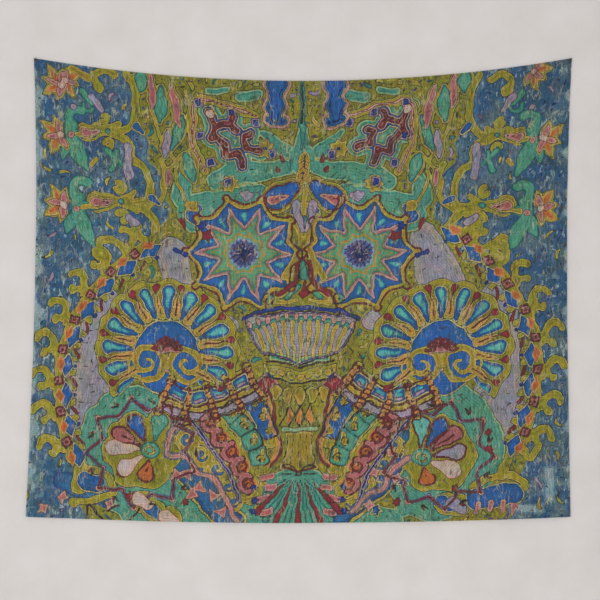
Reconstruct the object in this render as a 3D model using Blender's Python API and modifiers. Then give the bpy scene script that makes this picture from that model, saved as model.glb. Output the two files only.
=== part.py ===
"""A cloth wall hanging, held to a wall by two push pins.

X runs to the right, Z up and Y into the wall. The origin is on the wall's surface, halfway between the
pins. The cloth is one sheet. It is drawn as the two small corners that the pins hold still and the drape
that swings below them, and they part along one straight fold line just under the pins.
"""

import math

import bmesh
import bpy
import numpy as np

# The cloth as it was cut and hemmed, flat
CLOTH_WIDTH = 1.524
CLOTH_HEIGHT = 1.295
HEM_WIDTH = 0.012
STITCH_INSET = 0.0105

# The cloth as it hangs
PIN_SPACING = 1.492
PIN_INSET = 0.007  # from a corner's two edges to its pin
SIDE_DROP = 1.283  # from a top corner straight down to the lower one
TOP_SAG = 0.065
BOTTOM_BOW = 0.017
LEFT_FLARE = 0.022  # how far the lower left corner stands outside the upper one
RIGHT_FLARE = -0.005
LEFT_PULL = (0.018, 0.0)  # how far the side edge is drawn in, a third and two thirds of the way down
RIGHT_PULL = (0.025, 0.012)

# Thicknesses, and where the layers lie in front of the wall
LAYER_GAP = 0.0003
WALL_GAP = 0.0005
PANEL_THICKNESS = 0.0008
HEM_THICKNESS = 0.0010
LABEL_THICKNESS = 0.0006
THREAD_THICKNESS = 0.0004
THREAD_WIDTH = 0.0006
HEM_FRONT = -WALL_GAP - HEM_THICKNESS
PANEL_BACK = HEM_FRONT - LAYER_GAP
PANEL_FRONT = PANEL_BACK - PANEL_THICKNESS
THREAD_FRONT = PANEL_FRONT - LAYER_GAP - THREAD_THICKNESS

# The line that the drape swings about
FOLD_Z = -0.009

# The care label, behind the cloth beside the hem
LABEL_WIDTH = 0.025
LABEL_HEIGHT = 0.040
LABEL_RISE = 0.120  # above the bottom edge

# The push pins
HEAD_LENGTH = 0.0125
COLLAR_RADIUS = 0.0050
COLLAR_THICKNESS = 0.0016
WAIST_RADIUS = 0.0026
TOP_RADIUS = 0.0046
DOME_RISE = 0.0008
NEEDLE_RADIUS = 0.0005
NEEDLE_IN_HEAD = 0.0090
NEEDLE_IN_WALL = 0.0085
NEEDLE_POINT = 0.0030
TURN_STEPS = 32

OUTLINE_STEP = 0.03  # spacing of the points along a cloth edge
CUT_REACH = 1.0  # how far the cutting boxes reach past the cloth


def clear_scene():
    for thing in list(bpy.data.objects):
        bpy.data.objects.remove(thing, do_unlink=True)


def new_collection(name):
    collection = bpy.data.collections.new(name)
    bpy.context.scene.collection.children.link(collection)
    return collection


def finish_of(name, colour, roughness, metallic=0.0):
    material = bpy.data.materials.new(name)
    material.use_nodes = True
    shader = material.node_tree.nodes["Principled BSDF"]
    shader.inputs["Base Color"].default_value = (*colour, 1.0)
    shader.inputs["Roughness"].default_value = roughness
    shader.inputs["Metallic"].default_value = metallic
    return material


def bezier(share, start, first, second, end):
    """Points of a cubic Bezier curve at the given shares of its way."""
    share = np.asarray(share, float)[..., None]
    back = 1.0 - share
    return (
        back**3 * np.array(start)
        + 3 * back**2 * share * np.array(first)
        + 3 * back * share**2 * np.array(second)
        + share**3 * np.array(end)
    )


CORNER_X = PIN_SPACING / 2 + PIN_INSET
TOP_LEFT = np.array((-CORNER_X, PIN_INSET))
TOP_RIGHT = np.array((CORNER_X, PIN_INSET))
LOW_LEFT = TOP_LEFT - (LEFT_FLARE, SIDE_DROP)
LOW_RIGHT = TOP_RIGHT + (RIGHT_FLARE, -SIDE_DROP)


def level_edge(share, left, right, sag):
    """The top or bottom edge: a parabola between two corners, as (x, z)."""
    handle_drop = np.array((0.0, -sag / 0.75))  # a cubic's middle takes three quarters of its handles' drop
    third = (right - left) / 3
    return bezier(share, left, left + third + handle_drop, right - third + handle_drop, right)


def side_edge(share, top, low, pull, inward):
    """A side edge, drawn in by pull towards the middle; inward is +1 on the left and -1 on the right."""
    drop = np.array((0.0, low[1] - top[1])) / 3
    first = top + drop + (inward * pull[0], 0.0)
    second = top + 2 * drop + (inward * pull[1], 0.0)
    return bezier(share, top, first, second, low)


def hung_point(u, v):
    """Where a point of the flat cloth hangs, as (x, z). u runs from the left edge, v from the top edge.

    The four hung edges are blended across the cloth as a Coons patch: the sum of the two ruled surfaces
    between opposite edges, less the bilinear surface through the corners.
    """
    s = np.asarray(u, float)[..., None] / CLOTH_WIDTH
    t = np.asarray(v, float)[..., None] / CLOTH_HEIGHT
    top = level_edge(s[..., 0], TOP_LEFT, TOP_RIGHT, TOP_SAG)
    bottom = level_edge(s[..., 0], LOW_LEFT, LOW_RIGHT, BOTTOM_BOW)
    left = side_edge(t[..., 0], TOP_LEFT, LOW_LEFT, LEFT_PULL, 1)
    right = side_edge(t[..., 0], TOP_RIGHT, LOW_RIGHT, RIGHT_PULL, -1)
    corners = (
        (1 - s) * (1 - t) * TOP_LEFT + s * (1 - t) * TOP_RIGHT + (1 - s) * t * LOW_LEFT + s * t * LOW_RIGHT
    )
    return (1 - t) * top + t * bottom + (1 - s) * left + s * right - corners


def hung_outline(low_u, high_u, low_v, high_v):
    """The boundary of a rectangle of flat cloth as it hangs, anticlockwise from the front."""
    corners = [(low_u, low_v), (low_u, high_v), (high_u, high_v), (high_u, low_v)]
    points = []
    for start, end in zip(corners, corners[1:] + corners[:1]):
        steps = max(1, round(math.dist(start, end) / OUTLINE_STEP))
        share = np.arange(steps)[:, None] / steps
        along = np.array(start) + share * (np.array(end) - np.array(start))
        points.append(hung_point(along[:, 0], along[:, 1]))
    return np.concatenate(points)


def as_mesh(curve_object):
    """The curve object made a mesh object of the same name and place, its caps welded to its sides."""
    graph = bpy.context.evaluated_depsgraph_get()
    mesh = bpy.data.meshes.new_from_object(curve_object.evaluated_get(graph))
    shell = bmesh.new()
    shell.from_mesh(mesh)
    bmesh.ops.remove_doubles(shell, verts=shell.verts, dist=0.00001)
    shell.to_mesh(mesh)
    shell.free()
    name, place = curve_object.name, curve_object.matrix_world.copy()
    bpy.data.objects.remove(curve_object, do_unlink=True)
    made = bpy.data.objects.new(name, mesh)
    made.matrix_world = place
    return made


def flat_piece(collection, name, rectangle, front, thickness, material):
    """A flat layer over a rectangle of the cloth, its front at y = front."""
    points = hung_outline(*rectangle)
    curve = bpy.data.curves.new(name, "CURVE")
    curve.dimensions = "2D"
    curve.fill_mode = "BOTH"
    curve.extrude = thickness / 2
    spline = curve.splines.new("POLY")
    spline.points.add(len(points) - 1)
    flat = np.zeros((len(points), 4))
    flat[:, :2] = points
    flat[:, 3] = 1.0
    spline.points.foreach_set("co", flat.ravel())
    spline.use_cyclic_u = True
    drawn = bpy.data.objects.new(name, curve)
    drawn.rotation_euler = (math.pi / 2, 0, 0)
    drawn.location = (0, front + thickness / 2, 0)
    bpy.context.scene.collection.objects.link(drawn)
    bpy.context.view_layer.update()
    piece = as_mesh(drawn)
    piece.data.materials.append(material)
    collection.objects.link(piece)
    return piece


def box_cutter(collection, name, low, high):
    bpy.ops.mesh.primitive_cube_add(size=1.0)
    cutter = bpy.context.object
    cutter.name = name
    cutter.scale = np.array(high) - np.array(low)
    cutter.location = (np.array(high) + np.array(low)) / 2
    return as_cutter(collection, cutter)


def as_cutter(collection, cutter):
    for owner in list(cutter.users_collection):
        owner.objects.unlink(cutter)
    collection.objects.link(cutter)
    cutter.hide_render = True
    cutter.display_type = "WIRE"
    return cutter


def cut(piece, operation, cutter):
    modifier = piece.modifiers.new(cutter.name, "BOOLEAN")
    modifier.operation = operation
    modifier.solver = "EXACT"
    modifier.object = cutter


def turned_piece(collection, name, profile, material):
    """A body of revolution about local Z. The profile is (radius, height) from its top down its outer side."""
    mesh = bpy.data.meshes.new(name)
    points = [(radius, 0.0, height) for radius, height in profile]
    mesh.from_pydata(points, [(i, i + 1) for i in range(len(points) - 1)], [])
    mesh.materials.append(material)
    piece = bpy.data.objects.new(name, mesh)
    collection.objects.link(piece)
    screw = piece.modifiers.new("turn", "SCREW")
    screw.steps = screw.render_steps = TURN_STEPS
    screw.use_merge_vertices = True
    screw.merge_threshold = 0.00001
    screw.use_smooth_shade = True
    return piece


def pin_head_profile():
    """Dome, flared grip, waist and collar, then the blind bore that the needle is moulded into."""
    bore_radius = NEEDLE_RADIUS + LAYER_GAP
    rim = HEAD_LENGTH - DOME_RISE
    dome = [
        (TOP_RADIUS * math.sin(angle), rim + DOME_RISE * math.cos(angle))
        for angle in np.linspace(0, math.pi / 2, 6)
    ]
    grip = [
        (WAIST_RADIUS + (TOP_RADIUS - WAIST_RADIUS) * bend**2, COLLAR_THICKNESS + 0.001 + bend * 0.0076)
        for bend in np.linspace(1, 0, 7)
    ]
    collar = [
        (COLLAR_RADIUS - 0.0005, COLLAR_THICKNESS),
        (COLLAR_RADIUS, COLLAR_THICKNESS / 2),
        (COLLAR_RADIUS - 0.0002, 0.0),
    ]
    bore = [
        (bore_radius, 0.0),
        (bore_radius, NEEDLE_IN_HEAD + LAYER_GAP),
        (0.0, NEEDLE_IN_HEAD + LAYER_GAP),
    ]
    return dome + grip + collar + bore


def build_cloth(parts, cutters, fabric, hem_fabric, thread, label_satin):
    """The cloth's layers. Those that swing hang from an empty on the fold line."""
    edge_w, edge_h = CLOTH_WIDTH, CLOTH_HEIGHT
    below_fold = FOLD_Z - LAYER_GAP / 2
    above_fold = FOLD_Z + LAYER_GAP / 2
    fold_cut = box_cutter(
        cutters, "fold_cut", (-CUT_REACH, -CUT_REACH, below_fold), (CUT_REACH, CUT_REACH, CUT_REACH)
    )
    axis = bpy.data.objects.new("fold_line", None)
    axis.location = (0, PANEL_FRONT, FOLD_Z)
    parts.objects.link(axis)

    hem_low = HEM_WIDTH + LAYER_GAP
    low_u, low_v = edge_w - HEM_WIDTH, edge_h - HEM_WIDTH
    thread_low = STITCH_INSET - THREAD_WIDTH / 2
    thread_high = STITCH_INSET + THREAD_WIDTH / 2
    clear = HEM_WIDTH + 2 * THREAD_WIDTH
    label_top = edge_h - LABEL_RISE - LABEL_HEIGHT
    hems = {
        "top_hem": (0, edge_w, 0, HEM_WIDTH),
        "bottom_hem": (0, edge_w, low_v, edge_h),
        "left_hem": (0, HEM_WIDTH, hem_low, low_v - LAYER_GAP),
        "right_hem": (low_u, edge_w, hem_low, low_v - LAYER_GAP),
    }
    threads = {
        "top_hem_thread": (clear, edge_w - clear, thread_low, thread_high),
        "bottom_hem_thread": (clear, edge_w - clear, edge_h - thread_high, edge_h - thread_low),
        "left_hem_thread": (thread_low, thread_high, clear, edge_h - clear),
        "right_hem_thread": (edge_w - thread_high, edge_w - thread_low, clear, edge_h - clear),
    }
    label = (hem_low, hem_low + LABEL_WIDTH, label_top, label_top + LABEL_HEIGHT)

    swinging = [
        flat_piece(parts, "cloth_panel", (0, edge_w, 0, edge_h), PANEL_FRONT, PANEL_THICKNESS, fabric),
        flat_piece(parts, "care_label", label, HEM_FRONT, LABEL_THICKNESS, label_satin),
    ]
    for name, rectangle in hems.items():
        swinging.append(flat_piece(parts, name, rectangle, HEM_FRONT, HEM_THICKNESS, hem_fabric))
    for name, rectangle in threads.items():
        swinging.append(flat_piece(parts, name, rectangle, THREAD_FRONT, THREAD_THICKNESS, thread))
    for piece in swinging:
        cut(piece, "DIFFERENCE", fold_cut)
        piece.parent = axis
        piece.location -= axis.location

    for side, name in ((-1, "left"), (1, "right")):
        corner = flat_piece(
            parts,
            f"{name}_corner",
            (0, edge_w, 0, edge_h),
            PANEL_FRONT,
            -WALL_GAP - PANEL_FRONT,
            fabric,
        )
        near, far = sorted((side * CORNER_X * 0.7, side * CUT_REACH))
        keep = box_cutter(
            cutters, f"{name}_corner_keep", (near, -CUT_REACH, above_fold), (far, CUT_REACH, CUT_REACH)
        )
        bpy.ops.mesh.primitive_cylinder_add(
            vertices=TURN_STEPS,
            radius=NEEDLE_RADIUS + LAYER_GAP,
            depth=0.02,
            location=(side * PIN_SPACING / 2, 0, 0),
            rotation=(math.pi / 2, 0, 0),
        )
        hole = as_cutter(cutters, bpy.context.object)
        hole.name = f"{name}_pin_hole"
        cut(corner, "INTERSECT", keep)
        cut(corner, "DIFFERENCE", hole)


def build_pins(parts, plastic, steel):
    """Each pin slides along its own empty, which stands on the wall at its hole."""
    head_back = PANEL_FRONT - LAYER_GAP
    needle = [
        (0.0, NEEDLE_IN_HEAD),
        (NEEDLE_RADIUS, NEEDLE_IN_HEAD),
        (NEEDLE_RADIUS, head_back - NEEDLE_IN_WALL + NEEDLE_POINT),
        (0.0, head_back - NEEDLE_IN_WALL),
    ]
    for side, name in ((-1, "left"), (1, "right")):
        axis = bpy.data.objects.new(f"{name}_pin_axis", None)
        axis.location = (side * PIN_SPACING / 2, 0, 0)
        parts.objects.link(axis)
        for piece in (
            turned_piece(parts, f"{name}_tack_head", pin_head_profile(), plastic),
            turned_piece(parts, f"{name}_tack_needle", needle, steel),
        ):
            piece.parent = axis
            piece.location = (0, head_back, 0)
            piece.rotation_euler = (math.pi / 2, 0, 0)


def main():
    clear_scene()
    parts = new_collection("wall_hanging")
    cutters = new_collection("cutters")
    build_cloth(
        parts,
        cutters,
        finish_of("printed polyester", (0.13, 0.19, 0.17), 0.85),
        finish_of("folded hem", (0.16, 0.20, 0.20), 0.85),
        finish_of("sewing thread", (0.10, 0.13, 0.14), 0.7),
        finish_of("label satin", (0.72, 0.72, 0.70), 0.5),
    )
    build_pins(
        parts,
        finish_of("black moulded plastic", (0.008, 0.008, 0.009), 0.3),
        finish_of("steel needle", (0.62, 0.62, 0.63), 0.25, 1.0),
    )


main()
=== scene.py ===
# %% [markdown]
# # A printed tapestry pinned to a wall
#
# The object is a thin woven hanging, 1.52 m wide and 1.30 m tall, printed edge to edge with a dense drawing
# of rosettes, shell fans and scrolls round a goblet. Two push pins hold its top corners, so the top edge
# hangs in a shallow curve. The CAD model that this file loads fixes every size and every joint. What follows
# adds what the eye judges: the drape, the print, the weave, the hems and the light.

import math

import bpy
import numpy as np
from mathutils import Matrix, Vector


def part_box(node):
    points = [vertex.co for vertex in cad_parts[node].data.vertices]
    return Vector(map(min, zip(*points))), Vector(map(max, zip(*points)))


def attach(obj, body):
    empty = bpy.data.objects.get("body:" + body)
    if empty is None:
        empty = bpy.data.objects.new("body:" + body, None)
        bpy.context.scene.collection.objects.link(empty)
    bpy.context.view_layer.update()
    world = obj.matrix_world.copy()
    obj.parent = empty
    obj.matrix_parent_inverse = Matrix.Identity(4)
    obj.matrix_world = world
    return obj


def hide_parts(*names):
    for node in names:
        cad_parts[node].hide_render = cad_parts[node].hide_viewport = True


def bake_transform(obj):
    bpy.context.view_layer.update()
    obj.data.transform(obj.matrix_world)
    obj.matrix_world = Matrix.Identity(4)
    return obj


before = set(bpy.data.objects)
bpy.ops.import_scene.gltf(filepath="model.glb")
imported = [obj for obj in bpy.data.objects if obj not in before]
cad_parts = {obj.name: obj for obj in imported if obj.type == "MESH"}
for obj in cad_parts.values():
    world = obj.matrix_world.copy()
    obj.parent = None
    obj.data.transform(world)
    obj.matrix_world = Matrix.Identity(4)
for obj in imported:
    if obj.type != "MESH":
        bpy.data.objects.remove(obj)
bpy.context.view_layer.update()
TURN = 2 * math.pi


# %% [markdown]
# ## Colour and nodes
#
# A colour picker gives sRGB numbers, but a renderer adds light in linear numbers, so each hex value goes
# through the same curve once. Materials are small graphs, and one function places a node with its settings,
# its plain values and its links, which keeps each recipe readable from top to bottom.

# %% colour and node helpers
def paint(code):
    """An sRGB hex code as linear RGBA: the low end of the curve is straight, the rest is a power of 2.4."""
    parts = [int(code[at : at + 2], 16) / 255 for at in (1, 3, 5)]
    return [c / 12.92 if c <= 0.04045 else ((c + 0.055) / 1.055) ** 2.4 for c in parts] + [1.0]


def add(tree, kind, feeds=None, **settings):
    """Adds one node: settings are its properties, feeds its inputs, each a value or another node's output."""
    made = tree.nodes.new(kind)
    for name, value in settings.items():
        setattr(made, name, value)
    for socket, value in (feeds or {}).items():
        if isinstance(value, bpy.types.NodeSocket):
            tree.links.new(value, made.inputs[socket])
        else:
            made.inputs[socket].default_value = value
    return made


def new_material(name):
    """An empty material with its shader and output: returns the material, its tree and the shader."""
    material = bpy.data.materials.new(name)
    material.use_nodes = True
    tree = material.node_tree
    tree.nodes.clear()
    shader = add(tree, "ShaderNodeBsdfPrincipled")
    add(tree, "ShaderNodeOutputMaterial", {"Surface": shader.outputs["BSDF"]})
    return material, tree, shader


def finish_with(tree, shader, feeds):
    """Sets the shader's sockets: plain values stay on the socket, outputs are linked."""
    for socket, value in feeds.items():
        if isinstance(value, bpy.types.NodeSocket):
            tree.links.new(value, shader.inputs[socket])
        else:
            shader.inputs[socket].default_value = value


def steps(tree, factor, stops, hard=True):
    """A colour ramp from (place, hex) stops, in hard bands or blended."""
    ramp = add(tree, "ShaderNodeValToRGB", {"Fac": factor})
    ramp.color_ramp.interpolation = "CONSTANT" if hard else "LINEAR"
    while len(ramp.color_ramp.elements) < len(stops):
        ramp.color_ramp.elements.new(0.5)
    for element, (place, code) in zip(ramp.color_ramp.elements, stops):
        element.position = place
        element.color = paint(code)
    return ramp.outputs["Color"]


# %% [markdown]
# ## Camera, wall and light
#
# The hanging is seen square on from four metres, through a lens long enough to keep its edges straight. The
# wall is the backdrop that the cloth nearly touches. It is see-through from behind, so that the reverse can
# be looked at too, and it casts no shadow. A soft lamp low in front, a little to the left, shows the drape, a
# second one behind lights the reverse, and an even sky fills in. Their strengths are balanced so that a
# colour on the cloth reads as the paint it was given.

# %% camera
EYE = (-0.008, -4.0, -0.670)
LENS_MM = 85.7

camera_data = bpy.data.cameras.new("viewer")
camera_data.lens = LENS_MM
camera = bpy.data.objects.new("viewer", camera_data)
camera.location = EYE
camera.rotation_euler = (TURN / 4, 0.0, 0.0)
bpy.context.scene.collection.objects.link(camera)
bpy.context.scene.camera = camera
bpy.context.scene.view_settings.view_transform = "Standard"
print("camera", EYE, "lens", LENS_MM)


# %% wall and floor
WALL_Y = 0.0010
FLOOR_Z = -2.20


def plaster(name, colour, shade, see_through):
    """Matt emulsion on rolled plaster: two near tones in soft patches and a fine orange-peel bump."""
    material, tree, shader = new_material(name)
    place = add(tree, "ShaderNodeTexCoord").outputs["Object"]
    patches = add(tree, "ShaderNodeTexNoise", {"Vector": place, "Scale": 9.0, "Detail": 4.0})
    tone = steps(tree, patches.outputs["Fac"], ((0.3, shade), (0.7, colour)), hard=False)
    peel = add(tree, "ShaderNodeTexNoise", {"Vector": place, "Scale": 160.0, "Detail": 2.0})
    bump = add(tree, "ShaderNodeBump", {"Height": peel.outputs["Fac"], "Strength": 0.25, "Distance": 0.002})
    finish_with(tree, shader, {"Base Color": tone, "Roughness": 0.9, "Normal": bump.outputs["Normal"]})
    if see_through:
        facing = add(tree, "ShaderNodeNewGeometry").outputs["Backfacing"]
        clear = add(tree, "ShaderNodeBsdfTransparent").outputs["BSDF"]
        either = add(tree, "ShaderNodeMixShader", {0: facing, 1: shader.outputs["BSDF"], 2: clear})
        output = next(n for n in tree.nodes if n.type == "OUTPUT_MATERIAL")
        tree.links.new(either.outputs["Shader"], output.inputs["Surface"])
    return material


def plane(name, corners, material):
    """One flat face through four corners, facing the side from which they run anticlockwise."""
    mesh = bpy.data.meshes.new(name)
    mesh.from_pydata(corners, [], [(0, 1, 2, 3)])
    mesh.materials.append(material)
    made = bpy.data.objects.new(name, mesh)
    bpy.context.scene.collection.objects.link(made)
    return made


wall = plane(
    "backdrop_wall",
    [(-4, WALL_Y, FLOOR_Z), (4, WALL_Y, FLOOR_Z), (4, WALL_Y, 2.5), (-4, WALL_Y, 2.5)],
    plaster("wall_emulsion", "#D7D4D4", "#D1CDCC", see_through=True),
)
wall.visible_shadow = False
plane(
    "floor",
    [(-4, -6, FLOOR_Z), (4, -6, FLOOR_Z), (4, 4, FLOOR_Z), (-4, 4, FLOOR_Z)],
    plaster("floor_paint", "#D9D6D2", "#D3D0CC", see_through=False),
)
print("wall at y", WALL_Y, "and floor at z", FLOOR_Z)


# %% lamps
def soft_lamp(name, place, aim, size, power):
    """A square softbox of the given side, turned from its place towards aim."""
    data = bpy.data.lights.new(name, "AREA")
    data.size = size
    data.energy = power
    lamp = bpy.data.objects.new(name, data)
    lamp.location = place
    run = [a - p for a, p in zip(aim, place)]
    level = math.hypot(run[0], run[1])
    lamp.rotation_euler = (math.atan2(level, -run[2]), 0.0, math.atan2(-run[0], run[1]))
    bpy.context.scene.collection.objects.link(lamp)
    return lamp


soft_lamp("key_light", (-0.50, -3.4, -1.15), (0.0, 0.0, -0.75), 1.3, 35.0)
soft_lamp("rear_fill", (1.6, 3.2, 0.4), (0.0, 0.0, -0.65), 2.0, 105.0)

sky = bpy.data.worlds.new("studio_sky")
sky.use_nodes = True
sky.node_tree.nodes["Background"].inputs["Color"].default_value = paint("#F6F3F0")
sky.node_tree.nodes["Background"].inputs["Strength"].default_value = 0.86
bpy.context.scene.world = sky


# %% [markdown]
# ## Drawing by distance
#
# The print is made of a few hundred shapes. Painting them as a picture would need an image file,
# and colouring the mesh's points directly would blur every edge to the width of a mesh square. So each ink
# is stored as a distance: at every point of the cloth, how far it is to the nearest edge of that ink's
# shapes, negative inside. Distances change slowly, so a coarse grid carries them well, and the material
# later cuts them at zero, which gives a crisp edge with a contour, a pale rim and a darker heart for free.
#
# The helpers here give the distance to one simple shape each. x runs to the right and y down the cloth, both
# in metres, and angles turn from +x towards +y.

# %% distance to simple shapes
def circle(x, y, at, radius):
    """Distance to a disc: how far the point is from the centre, less the radius."""
    return np.hypot(x - at[0], y - at[1]) - radius


def stroke(x, y, start, end, width, end_width=None):
    """Distance to a brush stroke: the nearest point of the line, less a half width that may taper."""
    end_width = width if end_width is None else end_width
    run, rise = end[0] - start[0], end[1] - start[1]
    share = np.clip(((x - start[0]) * run + (y - start[1]) * rise) / (run**2 + rise**2), 0, 1)
    reach = np.hypot(x - start[0] - share * run, y - start[1] - share * rise)
    return reach - (width + (end_width - width) * share)


def block(x, y, at, half, turn=0.0):
    """Distance to a rectangle of the given half sides, turned about its centre."""
    across = np.abs(np.cos(turn) * (x - at[0]) + np.sin(turn) * (y - at[1])) - half[0]
    down = np.abs(np.cos(turn) * (y - at[1]) - np.sin(turn) * (x - at[0])) - half[1]
    return np.hypot(np.maximum(across, 0), np.maximum(down, 0)) + np.minimum(np.maximum(across, down), 0)


def blade(x, y, start, end, width):
    """Distance to a leaf: a line whose half width swells from nothing at both ends to width in its middle."""
    run, rise = end[0] - start[0], end[1] - start[1]
    share = np.clip(((x - start[0]) * run + (y - start[1]) * rise) / (run**2 + rise**2), 0, 1)
    reach = np.hypot(x - start[0] - share * run, y - start[1] - share * rise)
    return reach - width * np.sin(math.pi * (0.06 + 0.88 * share)) ** 0.8


def hook(x, y, at, radius, middle, spread, width):
    """Distance to an arc of a circle, spread either way of the angle middle, thick on both sides by width."""
    across = np.cos(middle) * (x - at[0]) + np.sin(middle) * (y - at[1])
    down = np.abs(np.cos(middle) * (y - at[1]) - np.sin(middle) * (x - at[0]))
    on_arc = np.abs(np.hypot(across, down) - radius)
    past_end = np.hypot(across - radius * np.cos(spread), down - radius * np.sin(spread))
    return np.where(np.arctan2(down, across) < spread, on_arc, past_end) - width


def volute(x, y, at, inner, pitch, turns, width, start=0.0, sense=1.0):
    """Distance to a spiral whose radius grows by pitch each turn, from inner, starting at the angle start."""
    radius = np.hypot(x - at[0], y - at[1])
    angle = np.mod(sense * (np.arctan2(y - at[1], x - at[0]) - start), TURN)
    laps = np.clip(np.round((radius - inner) / pitch - angle / TURN), 0, max(0, math.ceil(turns) - 1))
    travelled = np.clip(laps + angle / TURN, 0, turns)
    return np.abs(radius - inner - pitch * travelled) - width * (0.35 + 0.65 * travelled / turns)


# %% slices and stars
def sector(x, y, at, count, phase=0.0):
    """The point seen from a centre and folded into one of count equal slices, the slice's middle on +x."""
    radius = np.hypot(x - at[0], y - at[1])
    angle = np.arctan2(y - at[1], x - at[0]) - phase
    slice_angle = TURN / count
    number = np.round(angle / slice_angle)
    angle = angle - slice_angle * number
    return radius * np.cos(angle), radius * np.sin(angle), np.mod(number, count)


def star(x, y, at, points, tip, notch, phase=0.0):
    """Distance to a star: within one folded half slice its edge is the straight line from tip to notch."""
    across, down, _ = sector(x, y, at, points, phase)
    down = np.abs(down)
    half = math.pi / points
    end = np.array((notch * math.cos(half), notch * math.sin(half)))
    edge = end - (tip, 0.0)
    share = np.clip(((across - tip) * edge[0] + down * edge[1]) / edge.dot(edge), 0, 1)
    gap = np.hypot(across - tip - share * edge[0], down - share * edge[1])
    side = (across - tip) * edge[1] - down * edge[0]
    return np.where(side < 0, -gap, gap)


# %% paths
def smooth_path(points, each=10):
    """A Catmull-Rom curve through the points: each stretch is the cubic that its four nearest points give."""
    p = np.array(points, float)
    p = np.vstack((2 * p[0] - p[1], p, 2 * p[-1] - p[-2]))
    t = np.arange(each)[:, None] / each
    runs = [
        0.5
        * (
            2 * b
            + (c - a) * t
            + (2 * a - 5 * b + 4 * c - d) * t**2
            + (3 * b - a - 3 * c + d) * t**3
        )
        for a, b, c, d in zip(p, p[1:], p[2:], p[3:])
    ]
    return np.vstack((*runs, p[-2]))


def along(x, y, path):
    """Where a point lies by a path: how far along, how far to its left, how near, and the path's length.

    The nearest straight run of the path wins. Both ends run on, so past them the first number leaves 0 to
    the length.
    """
    near = np.full(x.shape, np.inf)
    travelled = np.zeros(x.shape)
    offset = np.zeros(x.shape)
    done = 0.0
    for number, (start, end) in enumerate(zip(path, path[1:])):
        run, rise = end - start
        length = math.hypot(run, rise)
        share = ((x - start[0]) * run + (y - start[1]) * rise) / length**2
        held = np.clip(share, 0, 1)
        reach = np.hypot(x - start[0] - held * run, y - start[1] - held * rise)
        nearer = reach < near
        near = np.where(nearer, reach, near)
        free = np.clip(share, -9 if number == 0 else 0, 9 if number == len(path) - 2 else 1)
        travelled = np.where(nearer, done + free * length, travelled)
        offset = np.where(nearer, ((x - start[0]) * rise - (y - start[1]) * run) / length, offset)
        done += length
    return travelled, offset, near, done


def repeat(travelled, total, count):
    """Splits a path into count equal cells: the place within the cell, centred, and the cell's number."""
    cell = total / count
    number = np.clip(np.floor(travelled / cell), 0, count - 1)
    return travelled - cell * (number + 0.5), number


def join(*fields):
    """The union of shapes: the least of their distances."""
    return np.minimum.reduce(fields)


print("from the middle of a disc of radius 1:", circle(0.0, 0.0, (0.0, 0.0), 1.0))
print("length of a path of two runs:", along(np.zeros(1), np.zeros(1), np.array(((0, 0), (3, 4), (3, 6))))[3])


# %% [markdown]
# ## The inks
#
# One row per ink, painted in this order, so a later row covers an earlier one. The bands go from the heart
# of a shape outwards: each colour holds from its distance in millimetres, negative inside the outline, up to
# the next one, and the last number is where the ink stops. A pale band past zero is the halo that the artist
# left round each shape, and a dark band past that is the pencil contour. Keeping the whole palette in one
# table means that a colour can be judged against its neighbours and changed in one place.

# %% the table of inks
INKS = (
    ("night", ((-900, "#2F5476"), (-26, "#3A607C"), (-9, "#29496B"), (-3, "#4E6C7A")), 0),
    ("haze", ((-900, "#7F959C"), (-5, "#5A7784")), 0),
    ("dove", ((-900, "#82808C"), (-22, "#8C8684"), (-6, "#8A8A96"), (-2, "#55504E")), 0.5),
    (
        "sea",
        ((-900, "#4A8674"), (-13, "#438070"), (-5, "#7BA07C"), (-2.4, "#8F8A48"), (-0.6, "#3B4436")),
        1.6,
    ),
    ("pool", ((-900, "#34587A"), (-24, "#2C5F86"), (-11, "#2A4D7A"), (-4, "#24406A")), 0),
    (
        "gilt",
        ((-900, "#7B7824"), (-9, "#8B842B"), (-5.5, "#857B2A"), (-2.6, "#A29A50"), (-0.8, "#353B32")),
        1.6,
    ),
    ("azure", ((-900, "#275794"), (-9, "#215086"), (-2.5, "#183C6C"), (0, "#A29A6C"), (2.4, "#4A4630")), 4.2),
    ("teal", ((-900, "#56A09C"), (-4, "#3C8C92"), (-1.2, "#2A5F86")), 0.8),
    ("leaf", ((-900, "#4B8A74"), (-5, "#3A7C6C"), (-1.6, "#254C58")), 1.4),
    (
        "bloom",
        (
            (-900, "#3F66A0"),
            (-43, "#8088A4"),
            (-39, "#5D8C7C"),
            (-33, "#8A8438"),
            (-29, "#A0764A"),
            (-26, "#4F8C6E"),
            (-19, "#83803C"),
            (-16, "#3F7E68"),
            (-11.5, "#4C3A44"),
            (-10, "#926660"),
            (-6.5, "#9C8682"),
            (-2.0, "#3C3C5C"),
        ),
        0.6,
    ),
    ("gold", ((-900, "#85742C"), (-6, "#928230"), (-2.0, "#A99A58"), (0, "#46382A")), 1.6),
    ("mauve", ((-900, "#85808F"), (-3, "#94838E"), (-1, "#4A4060")), 1.6),
    ("flame", ((-900, "#A4592E"), (-4, "#A86C3C"), (-1.4, "#AE8450")), 1.0),
    ("rose", ((-900, "#96585A"), (-4.5, "#A4706C"), (-2.0, "#AA8A7C"), (0, "#503234")), 1.8),
    ("wine", ((-900, "#7C2A36"), (-5, "#692E32"), (-1.2, "#482A2A")), 0.5),
    ("ivory", ((-900, "#A99A92"), (-4, "#B39680"), (0, "#5F3438")), 2.0),
    ("navy", ((-900, "#283A78"), (-2, "#1E2A54")), 0.4),
    ("line", ((-900, "#2F2A2C"), (-1.2, "#3C342E")), 0.0),
)
print("inks from the bottom up:", [ink[0] for ink in INKS])


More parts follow.
